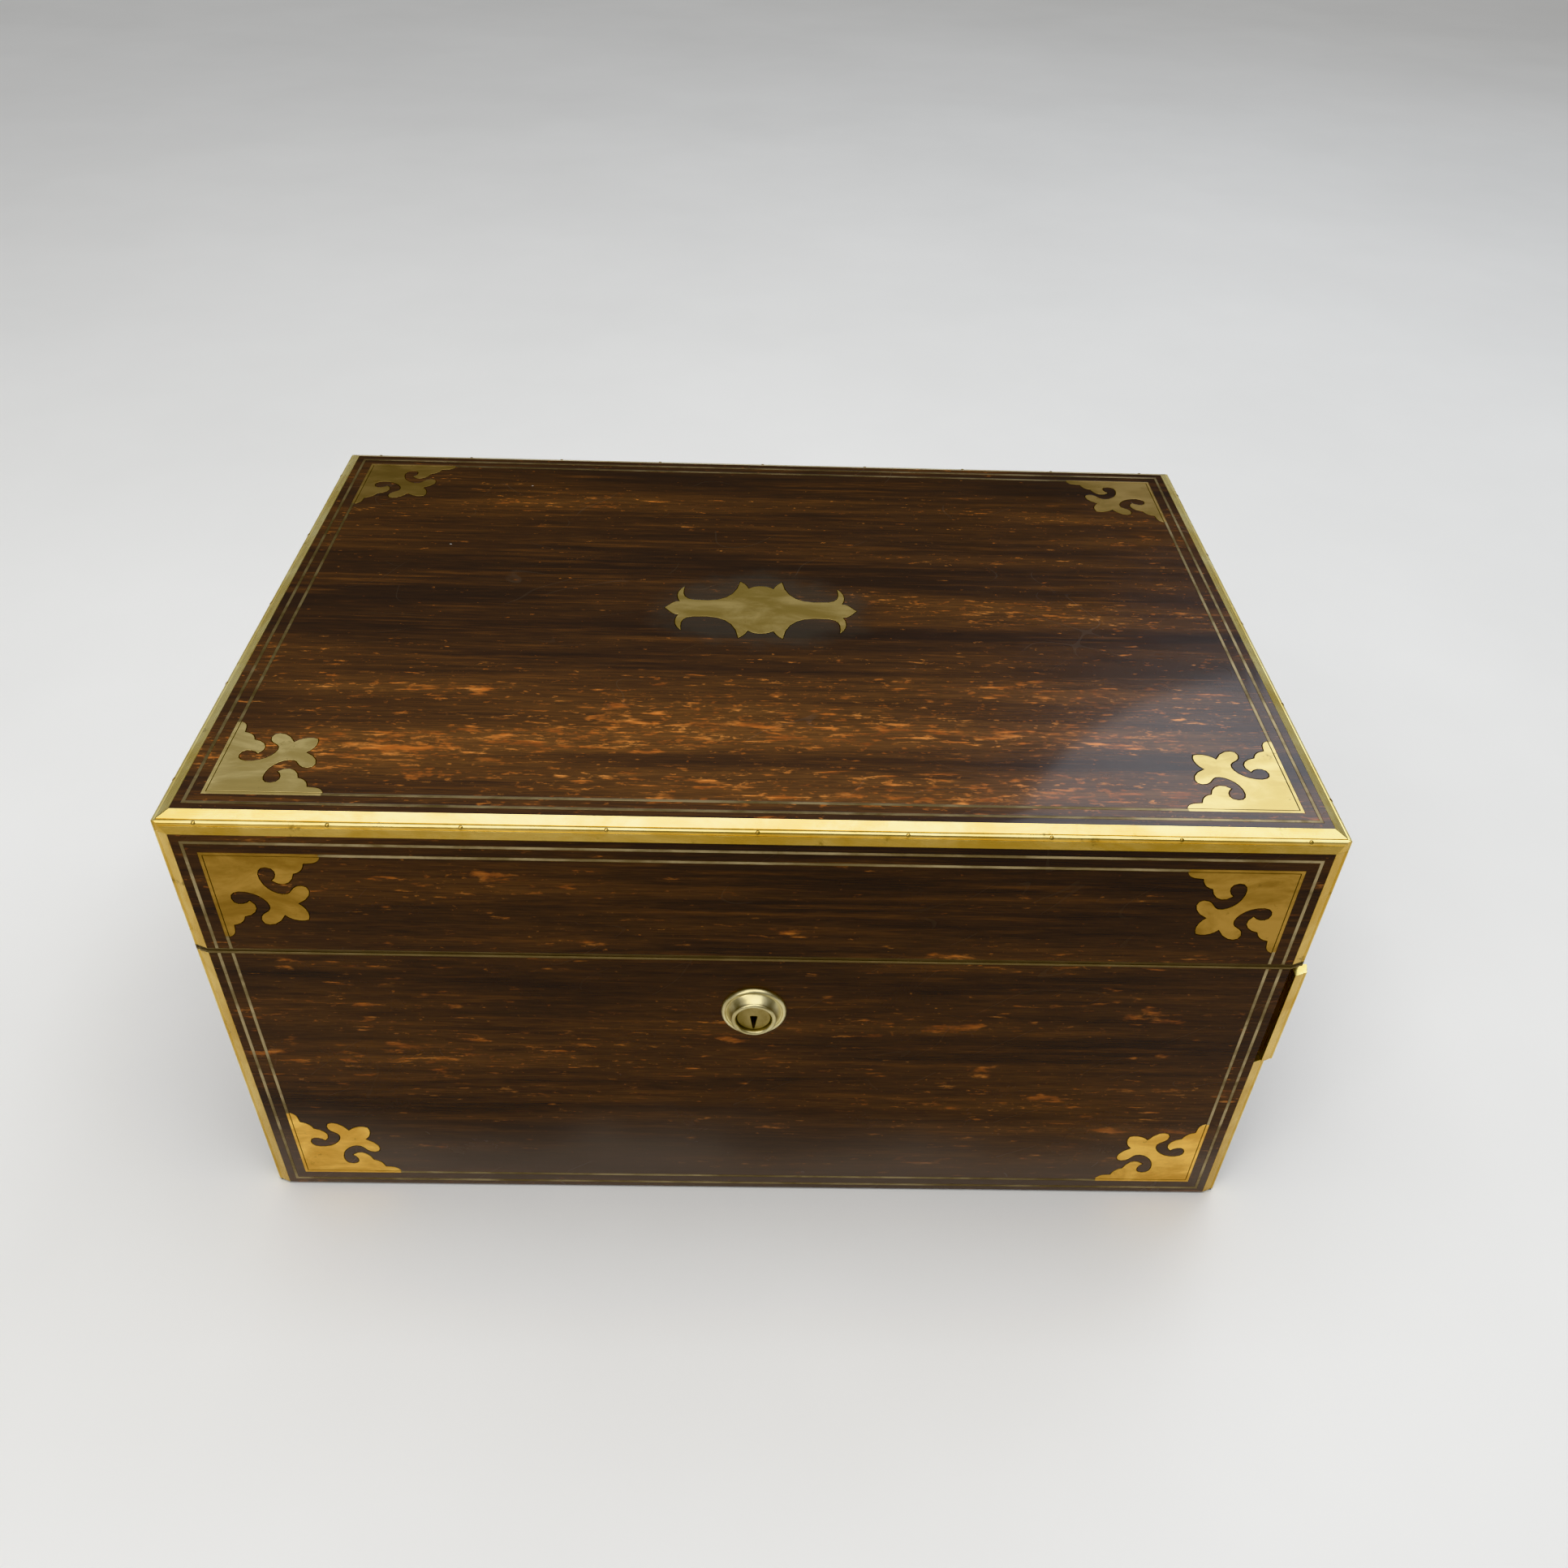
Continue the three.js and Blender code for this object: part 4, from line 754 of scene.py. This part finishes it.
def dress_metalwork():
    rim_tones = srgb(152, 136, 104), srgb(136, 121, 91)
    # Where the rims face the front they carry painted shade, deeper on the lid's rim than on the
    # base's
    for half, shade in (("base", srgb(216, 210, 205)), ("lid", srgb(156, 150, 150))):
        brass = make_brass(f"rim_{half}_brass", *rim_tones, Z_AXIS, RIM_ROUGH, RIM_TARNISH, shade)
        dress(brass, f"{half}_rim_brass", radius=RIM_ROUND)
    lock_tones = srgb(228, 217, 172), srgb(186, 171, 122)
    # The plug's brass is darker than the lock's: painted shade for its place sunk in the nozzle
    plug_shaded_tones = srgb(170, 152, 104), srgb(122, 106, 64)
    lock = make_brass("lock_brass", *lock_tones, Z_AXIS, LOCK_ROUGH)
    dress(lock, "lock_case", "lock_rose", "lock_link_plate")
    dress(make_brass("plug_shaded_brass", *plug_shaded_tones, Z_AXIS, PLUG_ROUGH), "lock_plug", radius=FINE_ROUND)
    steel = make_steel("steel")
    dress(steel, "lock_bolt")
    for side in ("left", "right"):
        dress(lock, f"hinge_{side}_base_leaf", f"hinge_{side}_lid_leaf", radius=LEAF_ROUND)
        dress(steel, f"hinge_{side}_pin")


LEATHER_TONES = srgb(66, 16, 20), srgb(84, 21, 26)
GILT_IN = 1.5 * MM
GILT_WIDTH = 0.7 * MM
LINING_GILT_OUT = 3.2 * MM


def dress_leather():
    tray = make_leather("tray_leather", *LEATHER_TONES, [
        (TRAY_HIGH.x - GILT_IN, TRAY_HIGH.y - GILT_IN, GILT_WIDTH),
    ])
    lining = make_leather("lining_leather", *LEATHER_TONES, [
        (PAD_HIGH.x + LINING_GILT_OUT, PAD_HIGH.y + LINING_GILT_OUT, GILT_WIDTH),
        (PAD_HIGH.x + 2 * LINING_GILT_OUT, PAD_HIGH.y + 2 * LINING_GILT_OUT, GILT_WIDTH / 2),
    ])
    dress(tray, "tray", radius=TRAY_ROUND, segments=3)
    dress(lining, "lid_lining_frame", radius=LINING_ROUND, segments=3)


# Forms, each a list of points and a list of faces, and pieces made of them

def new_piece(name, forms, body, material, smooth=True):
    """One piece of several forms. Only faces of four corners are shaded smooth."""
    points, faces = [], []
    for form_points, form_faces in forms:
        faces += [tuple(corner + len(points) for corner in face) for face in form_faces]
        points += form_points
    mesh = bpy.data.meshes.new(name)
    mesh.from_pydata(points, [], faces)
    mesh.update()
    mesh.materials.append(material)
    for polygon in mesh.polygons:
        polygon.use_smooth = smooth and len(polygon.vertices) == 4
    piece = bpy.data.objects.new(name, mesh)
    bpy.context.scene.collection.objects.link(piece)
    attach(piece, body)
    return piece


def padded_form(low, high, steps, rise_at, upward):
    """A closed form on a grid: flat on one side, on the other as high as rise_at(x, y) says."""
    flat = low.z if upward else high.z
    way = 1 if upward else -1
    columns, rows = steps[0] + 1, steps[1] + 1
    points = []
    for formed in (False, True):
        for j in range(rows):
            for i in range(columns):
                x = low.x + (high.x - low.x) * i / steps[0]
                y = low.y + (high.y - low.y) * j / steps[1]
                points.append((x, y, flat + (way * rise_at(x, y) if formed else 0)))
    faces = []
    layer = columns * rows
    for j in range(steps[1]):
        for i in range(steps[0]):
            a = j * columns + i
            faces.append((a, a + columns, a + columns + 1, a + 1))
            faces.append((a + layer, a + layer + 1, a + layer + columns + 1, a + layer + columns))
    edge = list(range(columns))
    edge += [j * columns + steps[0] for j in range(1, rows)]
    edge += [steps[1] * columns + i for i in range(steps[0] - 1, -1, -1)]
    edge += [j * columns for j in range(rows - 2, 0, -1)]
    for first, second in zip(edge, edge[1:] + edge[:1]):
        faces.append((first, second, second + layer, first + layer))
    return points, faces if upward else [tuple(reversed(face)) for face in faces]


def lofted_form(rings):
    """A closed form through rings of equally many points: its sides, its foot and its top."""
    count = len(rings[0])
    points = [point for ring in rings for point in ring]
    faces = []
    for level in range(len(rings) - 1):
        for i in range(count):
            a = level * count + i
            b = level * count + (i + 1) % count
            faces.append((a, b, b + count, a + count))
    faces.append(tuple(reversed(range(count))))
    faces.append(tuple(range(len(points) - count, len(points))))
    return points, faces


def circle(radius, height, count):
    turns = [2 * math.pi * i / count for i in range(count)]
    return [Vector((radius * math.cos(turn), radius * math.sin(turn), height)) for turn in turns]


def turned_forms(profile, places, count):
    """Turned forms, radius and height from foot to top, one at each place and direction."""
    forms = []
    for place, direction in places:
        turn = Vector(direction).to_track_quat("Z", "Y")
        forms.append(lofted_form([
            [Vector(place) + turn @ point for point in circle(radius, height, count)]
            for radius, height in profile
        ]))
    return forms


def drawn_in(low, high, inset):
    """A box's corners with its four upright sides drawn in."""
    move = Vector((inset, inset, 0))
    return low + move, high - move


def shoulder(share):
    """The height of a quarter round: 0 at its foot, 1 from a share of 1 on."""
    return math.sqrt(max(0.0, 1 - (1 - min(share, 1)) ** 2))


# Stuffed cloth: the frames that it swells for, and how it is solved, weighs and resists
CLOTH_FRAMES = 18
CLOTH_SETTINGS = {
    "quality": 6,
    "mass": 0.15,
    "tension_stiffness": 12,
    "compression_stiffness": 12,
    "shear_stiffness": 6,
    "bending_stiffness": 0.4,
}


def inflate(piece, held_at, pressure, cap):
    """Swells a closed form as stuffed cloth does, no point by more than the cap. How firmly a
    point stays where it is comes from held_at(point)."""
    group = piece.vertex_groups.new(name="held")
    start = [vertex.co.copy() for vertex in piece.data.vertices]
    for i, point in enumerate(start):
        group.add([i], held_at(point), "REPLACE")
    cloth = piece.modifiers.new("cloth", "CLOTH")
    settings = cloth.settings
    for name, value in CLOTH_SETTINGS.items():
        setattr(settings, name, value)
    settings.use_pressure = True
    settings.uniform_pressure_force = pressure
    settings.vertex_group_mass = "held"
    settings.effector_weights.gravity = 0
    scene = bpy.context.scene
    for number in range(1, CLOTH_FRAMES + 1):
        scene.frame_set(number)
    evaluated = piece.evaluated_get(bpy.context.evaluated_depsgraph_get())
    ends = [vertex.co.copy() for vertex in evaluated.data.vertices]
    piece.modifiers.remove(cloth)
    piece.vertex_groups.clear()
    for vertex, before, after in zip(piece.data.vertices, start, ends):
        move = after - before
        vertex.co = before + (move.normalized() * cap if move.length > cap else move)
    scene.frame_set(1)


def finer(piece):
    subdivide = piece.modifiers.new("finer", "SUBSURF")
    subdivide.levels = subdivide.render_levels = 1


# The lid's pad: silk over wadding, sewn down at staggered buttons with folds between them

BUTTON_RADIUS = 4.2 * MM
BUTTON_HEIGHT = 2.4 * MM
BUTTON_ANGLES = 0, 18, 36, 54, 70, 82, 88
BUTTON_SIDES = 20
BUTTON_SUNK = 1 * MM
TUFT_COLUMNS = 5
TUFT_ROWS = 3
TUFT_RADIUS = 8.5 * MM
TUFT_DEPTH = 4.6 * MM
FOLD_WIDTH = 2.6 * MM
FOLD_DEPTH = 2.3 * MM
GATHER_COUNT = 9
GATHER_REACH = 13 * MM
GATHER_DEPTH = 0.55 * MM
GATHER_SHIFTS = 40, 70
EDGE_FADE = 6
PAD_EDGE = 3.2 * MM
PAD_EDGE_LEAST_SHARE = 0.4
PAD_CROWN = 5.2 * MM
PAD_CROWN_POWER = 5
PAD_IN = 0.3 * MM
PAD_STEPS = 128, 84
PAD_PRESSURE = 3.0
PAD_SWELL = 3.5 * MM
PAD_HELD_BACK = 0.5 * MM
PAD_HELD_EDGE = 2.5 * MM
PAD_HELD_TUFT = 4 * MM
PAD_HALF = Vector((PAD_HIGH.x, PAD_HIGH.y))
TUFT_PITCH = Vector((2 * PAD_HALF.x / TUFT_COLUMNS, 2 * PAD_HALF.y / TUFT_ROWS))


def tuft_places():
    places = []
    for row in range(TUFT_ROWS):
        count = TUFT_COLUMNS - row % 2
        for column in range(count):
            places.append(Vector((
                (column - (count - 1) / 2) * TUFT_PITCH.x,
                (row - (TUFT_ROWS - 1) / 2) * TUFT_PITCH.y,
            )))
    return places


TUFTS = tuft_places()


def fold_distance(x, y):
    """How far a point of the pad is from the nearest slanting fold between two buttons."""
    across = x / TUFT_PITCH.x
    along = y / TUFT_PITCH.y
    pitch = TUFT_PITCH.x * TUFT_PITCH.y / math.hypot(TUFT_PITCH.x / 2, TUFT_PITCH.y)
    shares = [across + along / 2 + 0.5, across - along / 2 + 0.5]
    return min(abs(share - round(share)) for share in shares) * pitch


def pad_rise(x, y):
    """The pad's height: its crown less the dips at the tufts and the folds, and fine gathers."""
    east, north = abs(x) / PAD_HALF.x, abs(y) / PAD_HALF.y
    crown = (1 - east ** PAD_CROWN_POWER) * (1 - north ** PAD_CROWN_POWER)
    away = min((Vector((x, y)) - tuft for tuft in TUFTS), key=lambda offset: offset.length)
    dip = math.exp(-(away.length / TUFT_RADIUS) ** 2)
    fold = math.exp(-(fold_distance(x, y) / FOLD_WIDTH) ** 2)
    inside = min(1, (1 - max(east, north)) * EDGE_FADE)
    phase = GATHER_SHIFTS[0] * (x - away.x) + GATHER_SHIFTS[1] * (y - away.y)
    gather = math.cos(GATHER_COUNT * math.atan2(away.y, away.x) + phase / TUFT_PITCH.x)
    gather *= math.exp(-away.length / GATHER_REACH) * min(1, away.length / BUTTON_RADIUS)
    rise = PAD_EDGE + PAD_CROWN * crown - TUFT_DEPTH * dip - FOLD_DEPTH * fold * inside * (1 - dip)
    return max(rise + GATHER_DEPTH * gather * inside, PAD_EDGE * PAD_EDGE_LEAST_SHARE)


def make_lid_pad(silk):
    form = padded_form(*drawn_in(PAD_LOW, PAD_HIGH, PAD_IN), PAD_STEPS, pad_rise, upward=False)
    pad = new_piece("lid_pad_silk", [form], "lid", silk)

    def held_at(point):
        at_back = point.z > PAD_HIGH.z - PAD_HELD_BACK
        edge = min(PAD_HALF.x - abs(point.x), PAD_HALF.y - abs(point.y))
        nearest = min((Vector((point.x, point.y)) - tuft).length for tuft in TUFTS)
        return 1.0 if at_back or edge < PAD_HELD_EDGE or nearest < PAD_HELD_TUFT else 0.0

    inflate(pad, held_at, PAD_PRESSURE, PAD_SWELL)
    finer(pad)
    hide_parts("lid_pad")


def make_buttons(silk):
    turns = [math.radians(angle) for angle in BUTTON_ANGLES]
    profile = [(BUTTON_RADIUS * math.cos(turn), BUTTON_HEIGHT * math.sin(turn)) for turn in turns]
    foot = PAD_HIGH.z - (PAD_EDGE + PAD_CROWN - TUFT_DEPTH) + BUTTON_SUNK
    places = [((tuft.x, tuft.y, foot), (0, 0, -1)) for tuft in TUFTS]
    forms = turned_forms(profile, places, BUTTON_SIDES)
    new_piece("lid_pad_buttons", forms, "lid", silk)


# The ring cushion: velvet rolls side by side, with a slit between each two that holds a ring

ROLL_COUNT = 6
ROLL_VALLEY = 10 * MM
ROLL_END = 7 * MM
ROLL_END_SHARES = 0.72, 0.28
ROLL_SLIT_SHARE = 0.06
CUSHION_IN = 0.4 * MM
CUSHION_STEPS = 52, 10 * ROLL_COUNT
CUSHION_PRESSURE = 2.0
CUSHION_SWELL = 0.8 * MM


def make_ring_cushion(velvet):
    width = (CUSHION_HIGH.y - CUSHION_LOW.y) / ROLL_COUNT
    height = CUSHION_HIGH.z - CUSHION_LOW.z

    def rise(x, y):
        share = ((y - CUSHION_LOW.y) / width) % 1.0
        hump = math.sqrt(max(0.0, 1 - (2 * share - 1) ** 2))
        end = shoulder(min(x - CUSHION_LOW.x, CUSHION_HIGH.x - x) / ROLL_END)
        least, more = ROLL_END_SHARES
        return (height - ROLL_VALLEY * (1 - hump)) * (least + more * end)

    low, high = drawn_in(CUSHION_LOW, CUSHION_HIGH, CUSHION_IN)
    form = padded_form(low, high, CUSHION_STEPS, rise, upward=True)
    cushion = new_piece("ring_cushion_velvet", [form], "base", velvet)

    def held_at(point):
        share = ((point.y - CUSHION_LOW.y) / width) % 1.0
        in_slit = min(share, 1 - share) < ROLL_SLIT_SHARE
        low_down = point.z < CUSHION_LOW.z + height / 2
        return 1.0 if in_slit or low_down else 0.0

    inflate(cushion, held_at, CUSHION_PRESSURE, CUSHION_SWELL)
    finer(cushion)
    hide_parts("ring_cushion")


# The tray's lining: a velvet pad on each cell's floor, and ribbon loops to lift the tray by

CELL_LEVEL_WITHIN = 0.01 * MM
CELL_CLEAR = 1 * MM
FLOOR_PAD = 1.4 * MM
FLOOR_PAD_IN = 1 * MM
FLOOR_PAD_SHARES = 0.4, 0.6
FLOOR_PAD_STEPS = 30, 30
RIBBON_WIDTH = 11 * MM
RIBBON_THICKNESS = 0.45 * MM
RIBBON_GAP = 0.1 * MM
RIBBON_LEG = 15 * MM
RIBBON_RISE = 12 * MM
RIBBON_LEAN = 5 * MM
RIBBON_SWELL = 1.1
RIBBON_STEPS = 28


def tray_cells():
    """The low and high corners of each cell's floor, found from the tray's own level faces."""
    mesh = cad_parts["tray"].data
    groups = []
    for polygon in mesh.polygons:
        corners = [mesh.vertices[i].co for i in polygon.vertices]
        heights = [corner.z for corner in corners]
        level = max(heights) - min(heights) < CELL_LEVEL_WITHIN
        if not level or not TRAY_LOW.z + CELL_CLEAR < heights[0] < TRAY_HIGH.z - CELL_CLEAR:
            continue
        keys = {(round(corner.x / MM, 2), round(corner.y / MM, 2)) for corner in corners}
        touching = [group for group in groups if group & keys]
        groups = [group for group in groups if not group & keys] + [keys.union(*touching)]
        floor = heights[0]
    cells = []
    for group in groups:
        xs, ys = zip(*group)
        low = Vector((min(xs) * MM, min(ys) * MM, floor))
        high = Vector((max(xs) * MM, max(ys) * MM, floor))
        cells.append((low, high))
    return cells


def make_floor_pads(velvet):
    """A pad in each cell but the ring cushion's."""
    forms = []
    middle = (CUSHION_LOW + CUSHION_HIGH) / 2
    for cell in tray_cells():
        low, high = drawn_in(*cell, FLOOR_PAD_IN)
        if low.x < middle.x < high.x and low.y < middle.y < high.y:
            continue

        def rise(x, y, low=low, high=high):
            edge = min(x - low.x, high.x - x, y - low.y, high.y - y) / FLOOR_PAD
            least, more = FLOOR_PAD_SHARES
            return FLOOR_PAD * (least + more * shoulder(edge))

        forms.append(padded_form(low, high, FLOOR_PAD_STEPS, rise, upward=True))
    new_piece("tray_floor_velvet", forms, "base", velvet)


def ribbon_form(x, front, back, top):
    """A loop of ribbon astride a partition: a quarter of its steps go up the front side, half
    over the leaning loop, and a quarter down the back side."""
    path = []
    gap = RIBBON_THICKNESS / 2 + RIBBON_GAP
    half = (back - front) / 2 + gap
    for i in range(RIBBON_STEPS + 1):
        share = i / RIBBON_STEPS
        if share < 0.25:
            path.append((front - gap, top - RIBBON_LEG * (1 - share * 4)))
        elif share > 0.75:
            path.append((back + gap, top - RIBBON_LEG * (share * 4 - 3)))
        else:
            turn = math.pi * (share * 2 - 0.5)
            swell = 1 + RIBBON_SWELL * math.sin(turn)
            lean = RIBBON_LEAN * math.sin(turn) ** 2
            y = (front + back) / 2 - half * swell * math.cos(turn) + lean
            path.append((y, top + RIBBON_RISE * math.sin(turn)))
    rings = []
    for i, (y, z) in enumerate(path):
        (y_before, z_before), (y_after, z_after) = path[max(i - 1, 0)], path[min(i + 1, RIBBON_STEPS)]
        way = Vector((y_after - y_before, z_after - z_before)).normalized() * RIBBON_THICKNESS / 2
        rings.append([
            (x + side_x * RIBBON_WIDTH / 2, y - side * way.y, z + side * way.x)
            for side_x, side in SQUARE
        ])
    return lofted_form(rings)


def make_ribbons(silk):
    """One loop on the partition between the two cells at each end of the tray."""
    forms = []
    cells = tray_cells()
    for side in (-1, 1):
        at_end = [cell for cell in cells if side * (cell[0].x + cell[1].x) > TRAY_HIGH.x]
        near, far = sorted(at_end, key=lambda cell: cell[0].y)
        middle = (near[0].x + near[1].x) / 2
        forms.append(ribbon_form(middle, near[1].y, far[0].y, TRAY_HIGH.z))
    new_piece("tray_ribbons", forms, "base", silk, smooth=False)


# Brass pins through the bead of the top edging: along the front as the photograph shows, alike
# along the back, and evenly along the sides

BEAD_IN = 1.08 * MM
BEAD_DROP = 1.63 * MM
BEAD_OUT, BEAD_UP = 0.72, 0.694
FRONT_PINS = [value * MM for value in (-157, -120, -83, -42.4, 0, 42.4, 83, 120, 157)]
SIDE_PINS = [value * MM for value in (-96, -48, 0, 48, 96)]
PIN_RADIUS = 0.5 * MM
PIN_DEPTH = 0.5 * MM
PIN_SIDES = 14

# A pin's domed head, as shares of its radius and heights, and the sunk ring round it
PIN_HEAD = (1.0, -PIN_DEPTH), (1.0, 0.02 * MM), (0.7, 0.09 * MM), (0.2, 0.12 * MM)
PIN_RING = 0.62 * MM
PIN_RING_HEIGHT = 0.015 * MM


def bead_places():
    """The pins' places on the bead of all four sides, and the way that it faces there."""
    height = TOP - BEAD_DROP
    places = []
    for side in (-1, 1):
        x, y = side * (HALF_WIDTH - BEAD_IN), side * (HALF_DEPTH - BEAD_IN)
        places += [((along, y, height), (0, side * BEAD_OUT, BEAD_UP)) for along in FRONT_PINS]
        places += [((x, along, height), (side * BEAD_OUT, 0, BEAD_UP)) for along in SIDE_PINS]
    return places


def make_pins(brass, grime):
    head = [(PIN_RADIUS * share, height) for share, height in PIN_HEAD]
    ring = [(PIN_RING, -PIN_DEPTH), (PIN_RING, PIN_RING_HEIGHT)]
    for name, profile, material in (
        ("edging_pins", head, brass), ("edging_pin_sinks", ring, grime),
    ):
        forms = turned_forms(profile, bead_places(), PIN_SIDES)
        new_piece(name, forms, "lid", material)


# Countersunk screws, each a low dome with a slot, in the rims where the lid meets the base

SCREW_RADIUS = 1.9 * MM
SCREW_STEPS = 10
SLOT_HALF = 0.22 * MM
SLOT_DEPTH = 0.25 * MM
SLOT_FLOOR = 0.06 * MM - SLOT_DEPTH
SLOT_FLOOR_SHARE = 0.98
SCREW_LEVELS = (-2 * SLOT_DEPTH, 1.0), (0.02 * MM, 1.0), (0.09 * MM, 0.93)
RIMS = {"base": (RIM_HIGH.z, (0, 0, 1)), "lid": (LID_RIM_LOW.z, (0, 0, -1))}

# The hinge leaves' screws: how many, how far in, the first slot's turn and how it goes on
LEAF_SCREWS = 3
LEAF_SCREW_IN = 3.6 * MM
LEAF_SLOT_TURNS = {"base": (0.5, 1.1), "lid": (1.3, 0.7)}

# The screws at both ends of a lock's piece: its body, how far in they are, and their slots' turn
LOCK_SCREWS = {"lock_link_plate": ("lid", 4.5 * MM, 0.4), "lock_case": ("base", 2.6 * MM, 0.9)}
LOCK_SCREW_BACK = 4 * MM


def screw_forms(x, y, body, slot_turn):
    """A screw's head: two half domes with a slot between them, over a plain floor."""
    height, direction = RIMS[body]
    turn = Vector(direction).to_track_quat("Z", "Y")
    turn = turn @ Matrix.Rotation(slot_turn, 3, "Z").to_quaternion()

    def placed(points):
        return [Vector((x, y, height)) + turn @ point for point in points]

    floor = placed(circle(SCREW_RADIUS * SLOT_FLOOR_SHARE, SLOT_FLOOR, 2 * SCREW_STEPS))
    forms = [(floor, [tuple(range(len(floor)))])]
    start = math.asin(SLOT_HALF / SCREW_RADIUS)
    for half in (0, math.pi):
        angles = [
            half + start + (math.pi - 2 * start) * i / SCREW_STEPS for i in range(SCREW_STEPS + 1)
        ]
        outline = [
            Vector((SCREW_RADIUS * math.cos(angle), SCREW_RADIUS * math.sin(angle), 0))
            for angle in angles
        ]
        centre = sum(outline, Vector()) / len(outline)
        forms.append(lofted_form([
            placed(centre + (point - centre) * share + Vector((0, 0, level)) for point in outline)
            for level, share in SCREW_LEVELS
        ]))
    return forms


def make_screws(brass):
    heads = {"base": [], "lid": []}
    for side in ("left", "right"):
        low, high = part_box(f"hinge_{side}_base_leaf")
        y = low.y + LEAF_SCREW_IN
        for i in range(LEAF_SCREWS):
            x = low.x + (high.x - low.x) * (i + 0.5) / LEAF_SCREWS
            for body, (first, more) in LEAF_SLOT_TURNS.items():
                heads[body] += screw_forms(x, y, body, first + more * i)
    for solid, (body, screw_in, slot_turn) in LOCK_SCREWS.items():
        low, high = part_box(solid)
        for x in (low.x + screw_in, high.x - screw_in):
            heads[body] += screw_forms(x, low.y + LOCK_SCREW_BACK, body, slot_turn)
    for body, forms in heads.items():
        new_piece(f"{body}_screws", forms, body, brass, smooth=False)


def make_padding():
    silk = make_silk("pad_silk", srgb(100, 20, 34), srgb(142, 38, 54))
    velvet = make_velvet("cushion_velvet", srgb(94, 14, 27), srgb(124, 23, 39))
    make_lid_pad(silk)
    make_buttons(silk)
    make_ring_cushion(velvet)
    make_floor_pads(make_velvet("floor_velvet", srgb(66, 10, 20), srgb(90, 17, 29)))
    make_ribbons(make_silk("ribbon_silk", srgb(120, 30, 40), srgb(168, 58, 66)))


def make_fittings():
    pin_tones = srgb(212, 186, 112), srgb(160, 132, 70)
    grime_tones = srgb(132, 108, 60), srgb(100, 78, 42)
    screw_tones = srgb(176, 154, 98), srgb(130, 110, 64)
    make_pins(
        make_brass("pin_brass", *pin_tones, X_AXIS),
        make_brass("pin_grime", *grime_tones, X_AXIS, GRIME_ROUGH, THIN_TARNISH),
    )
    make_screws(make_brass("screw_brass", *screw_tones, X_AXIS, SCREW_ROUGH))


make_camera()
make_studio()
dress_wood()
dress_edging()
dress_inlays()
dress_metalwork()
dress_leather()
make_padding()
make_fittings()
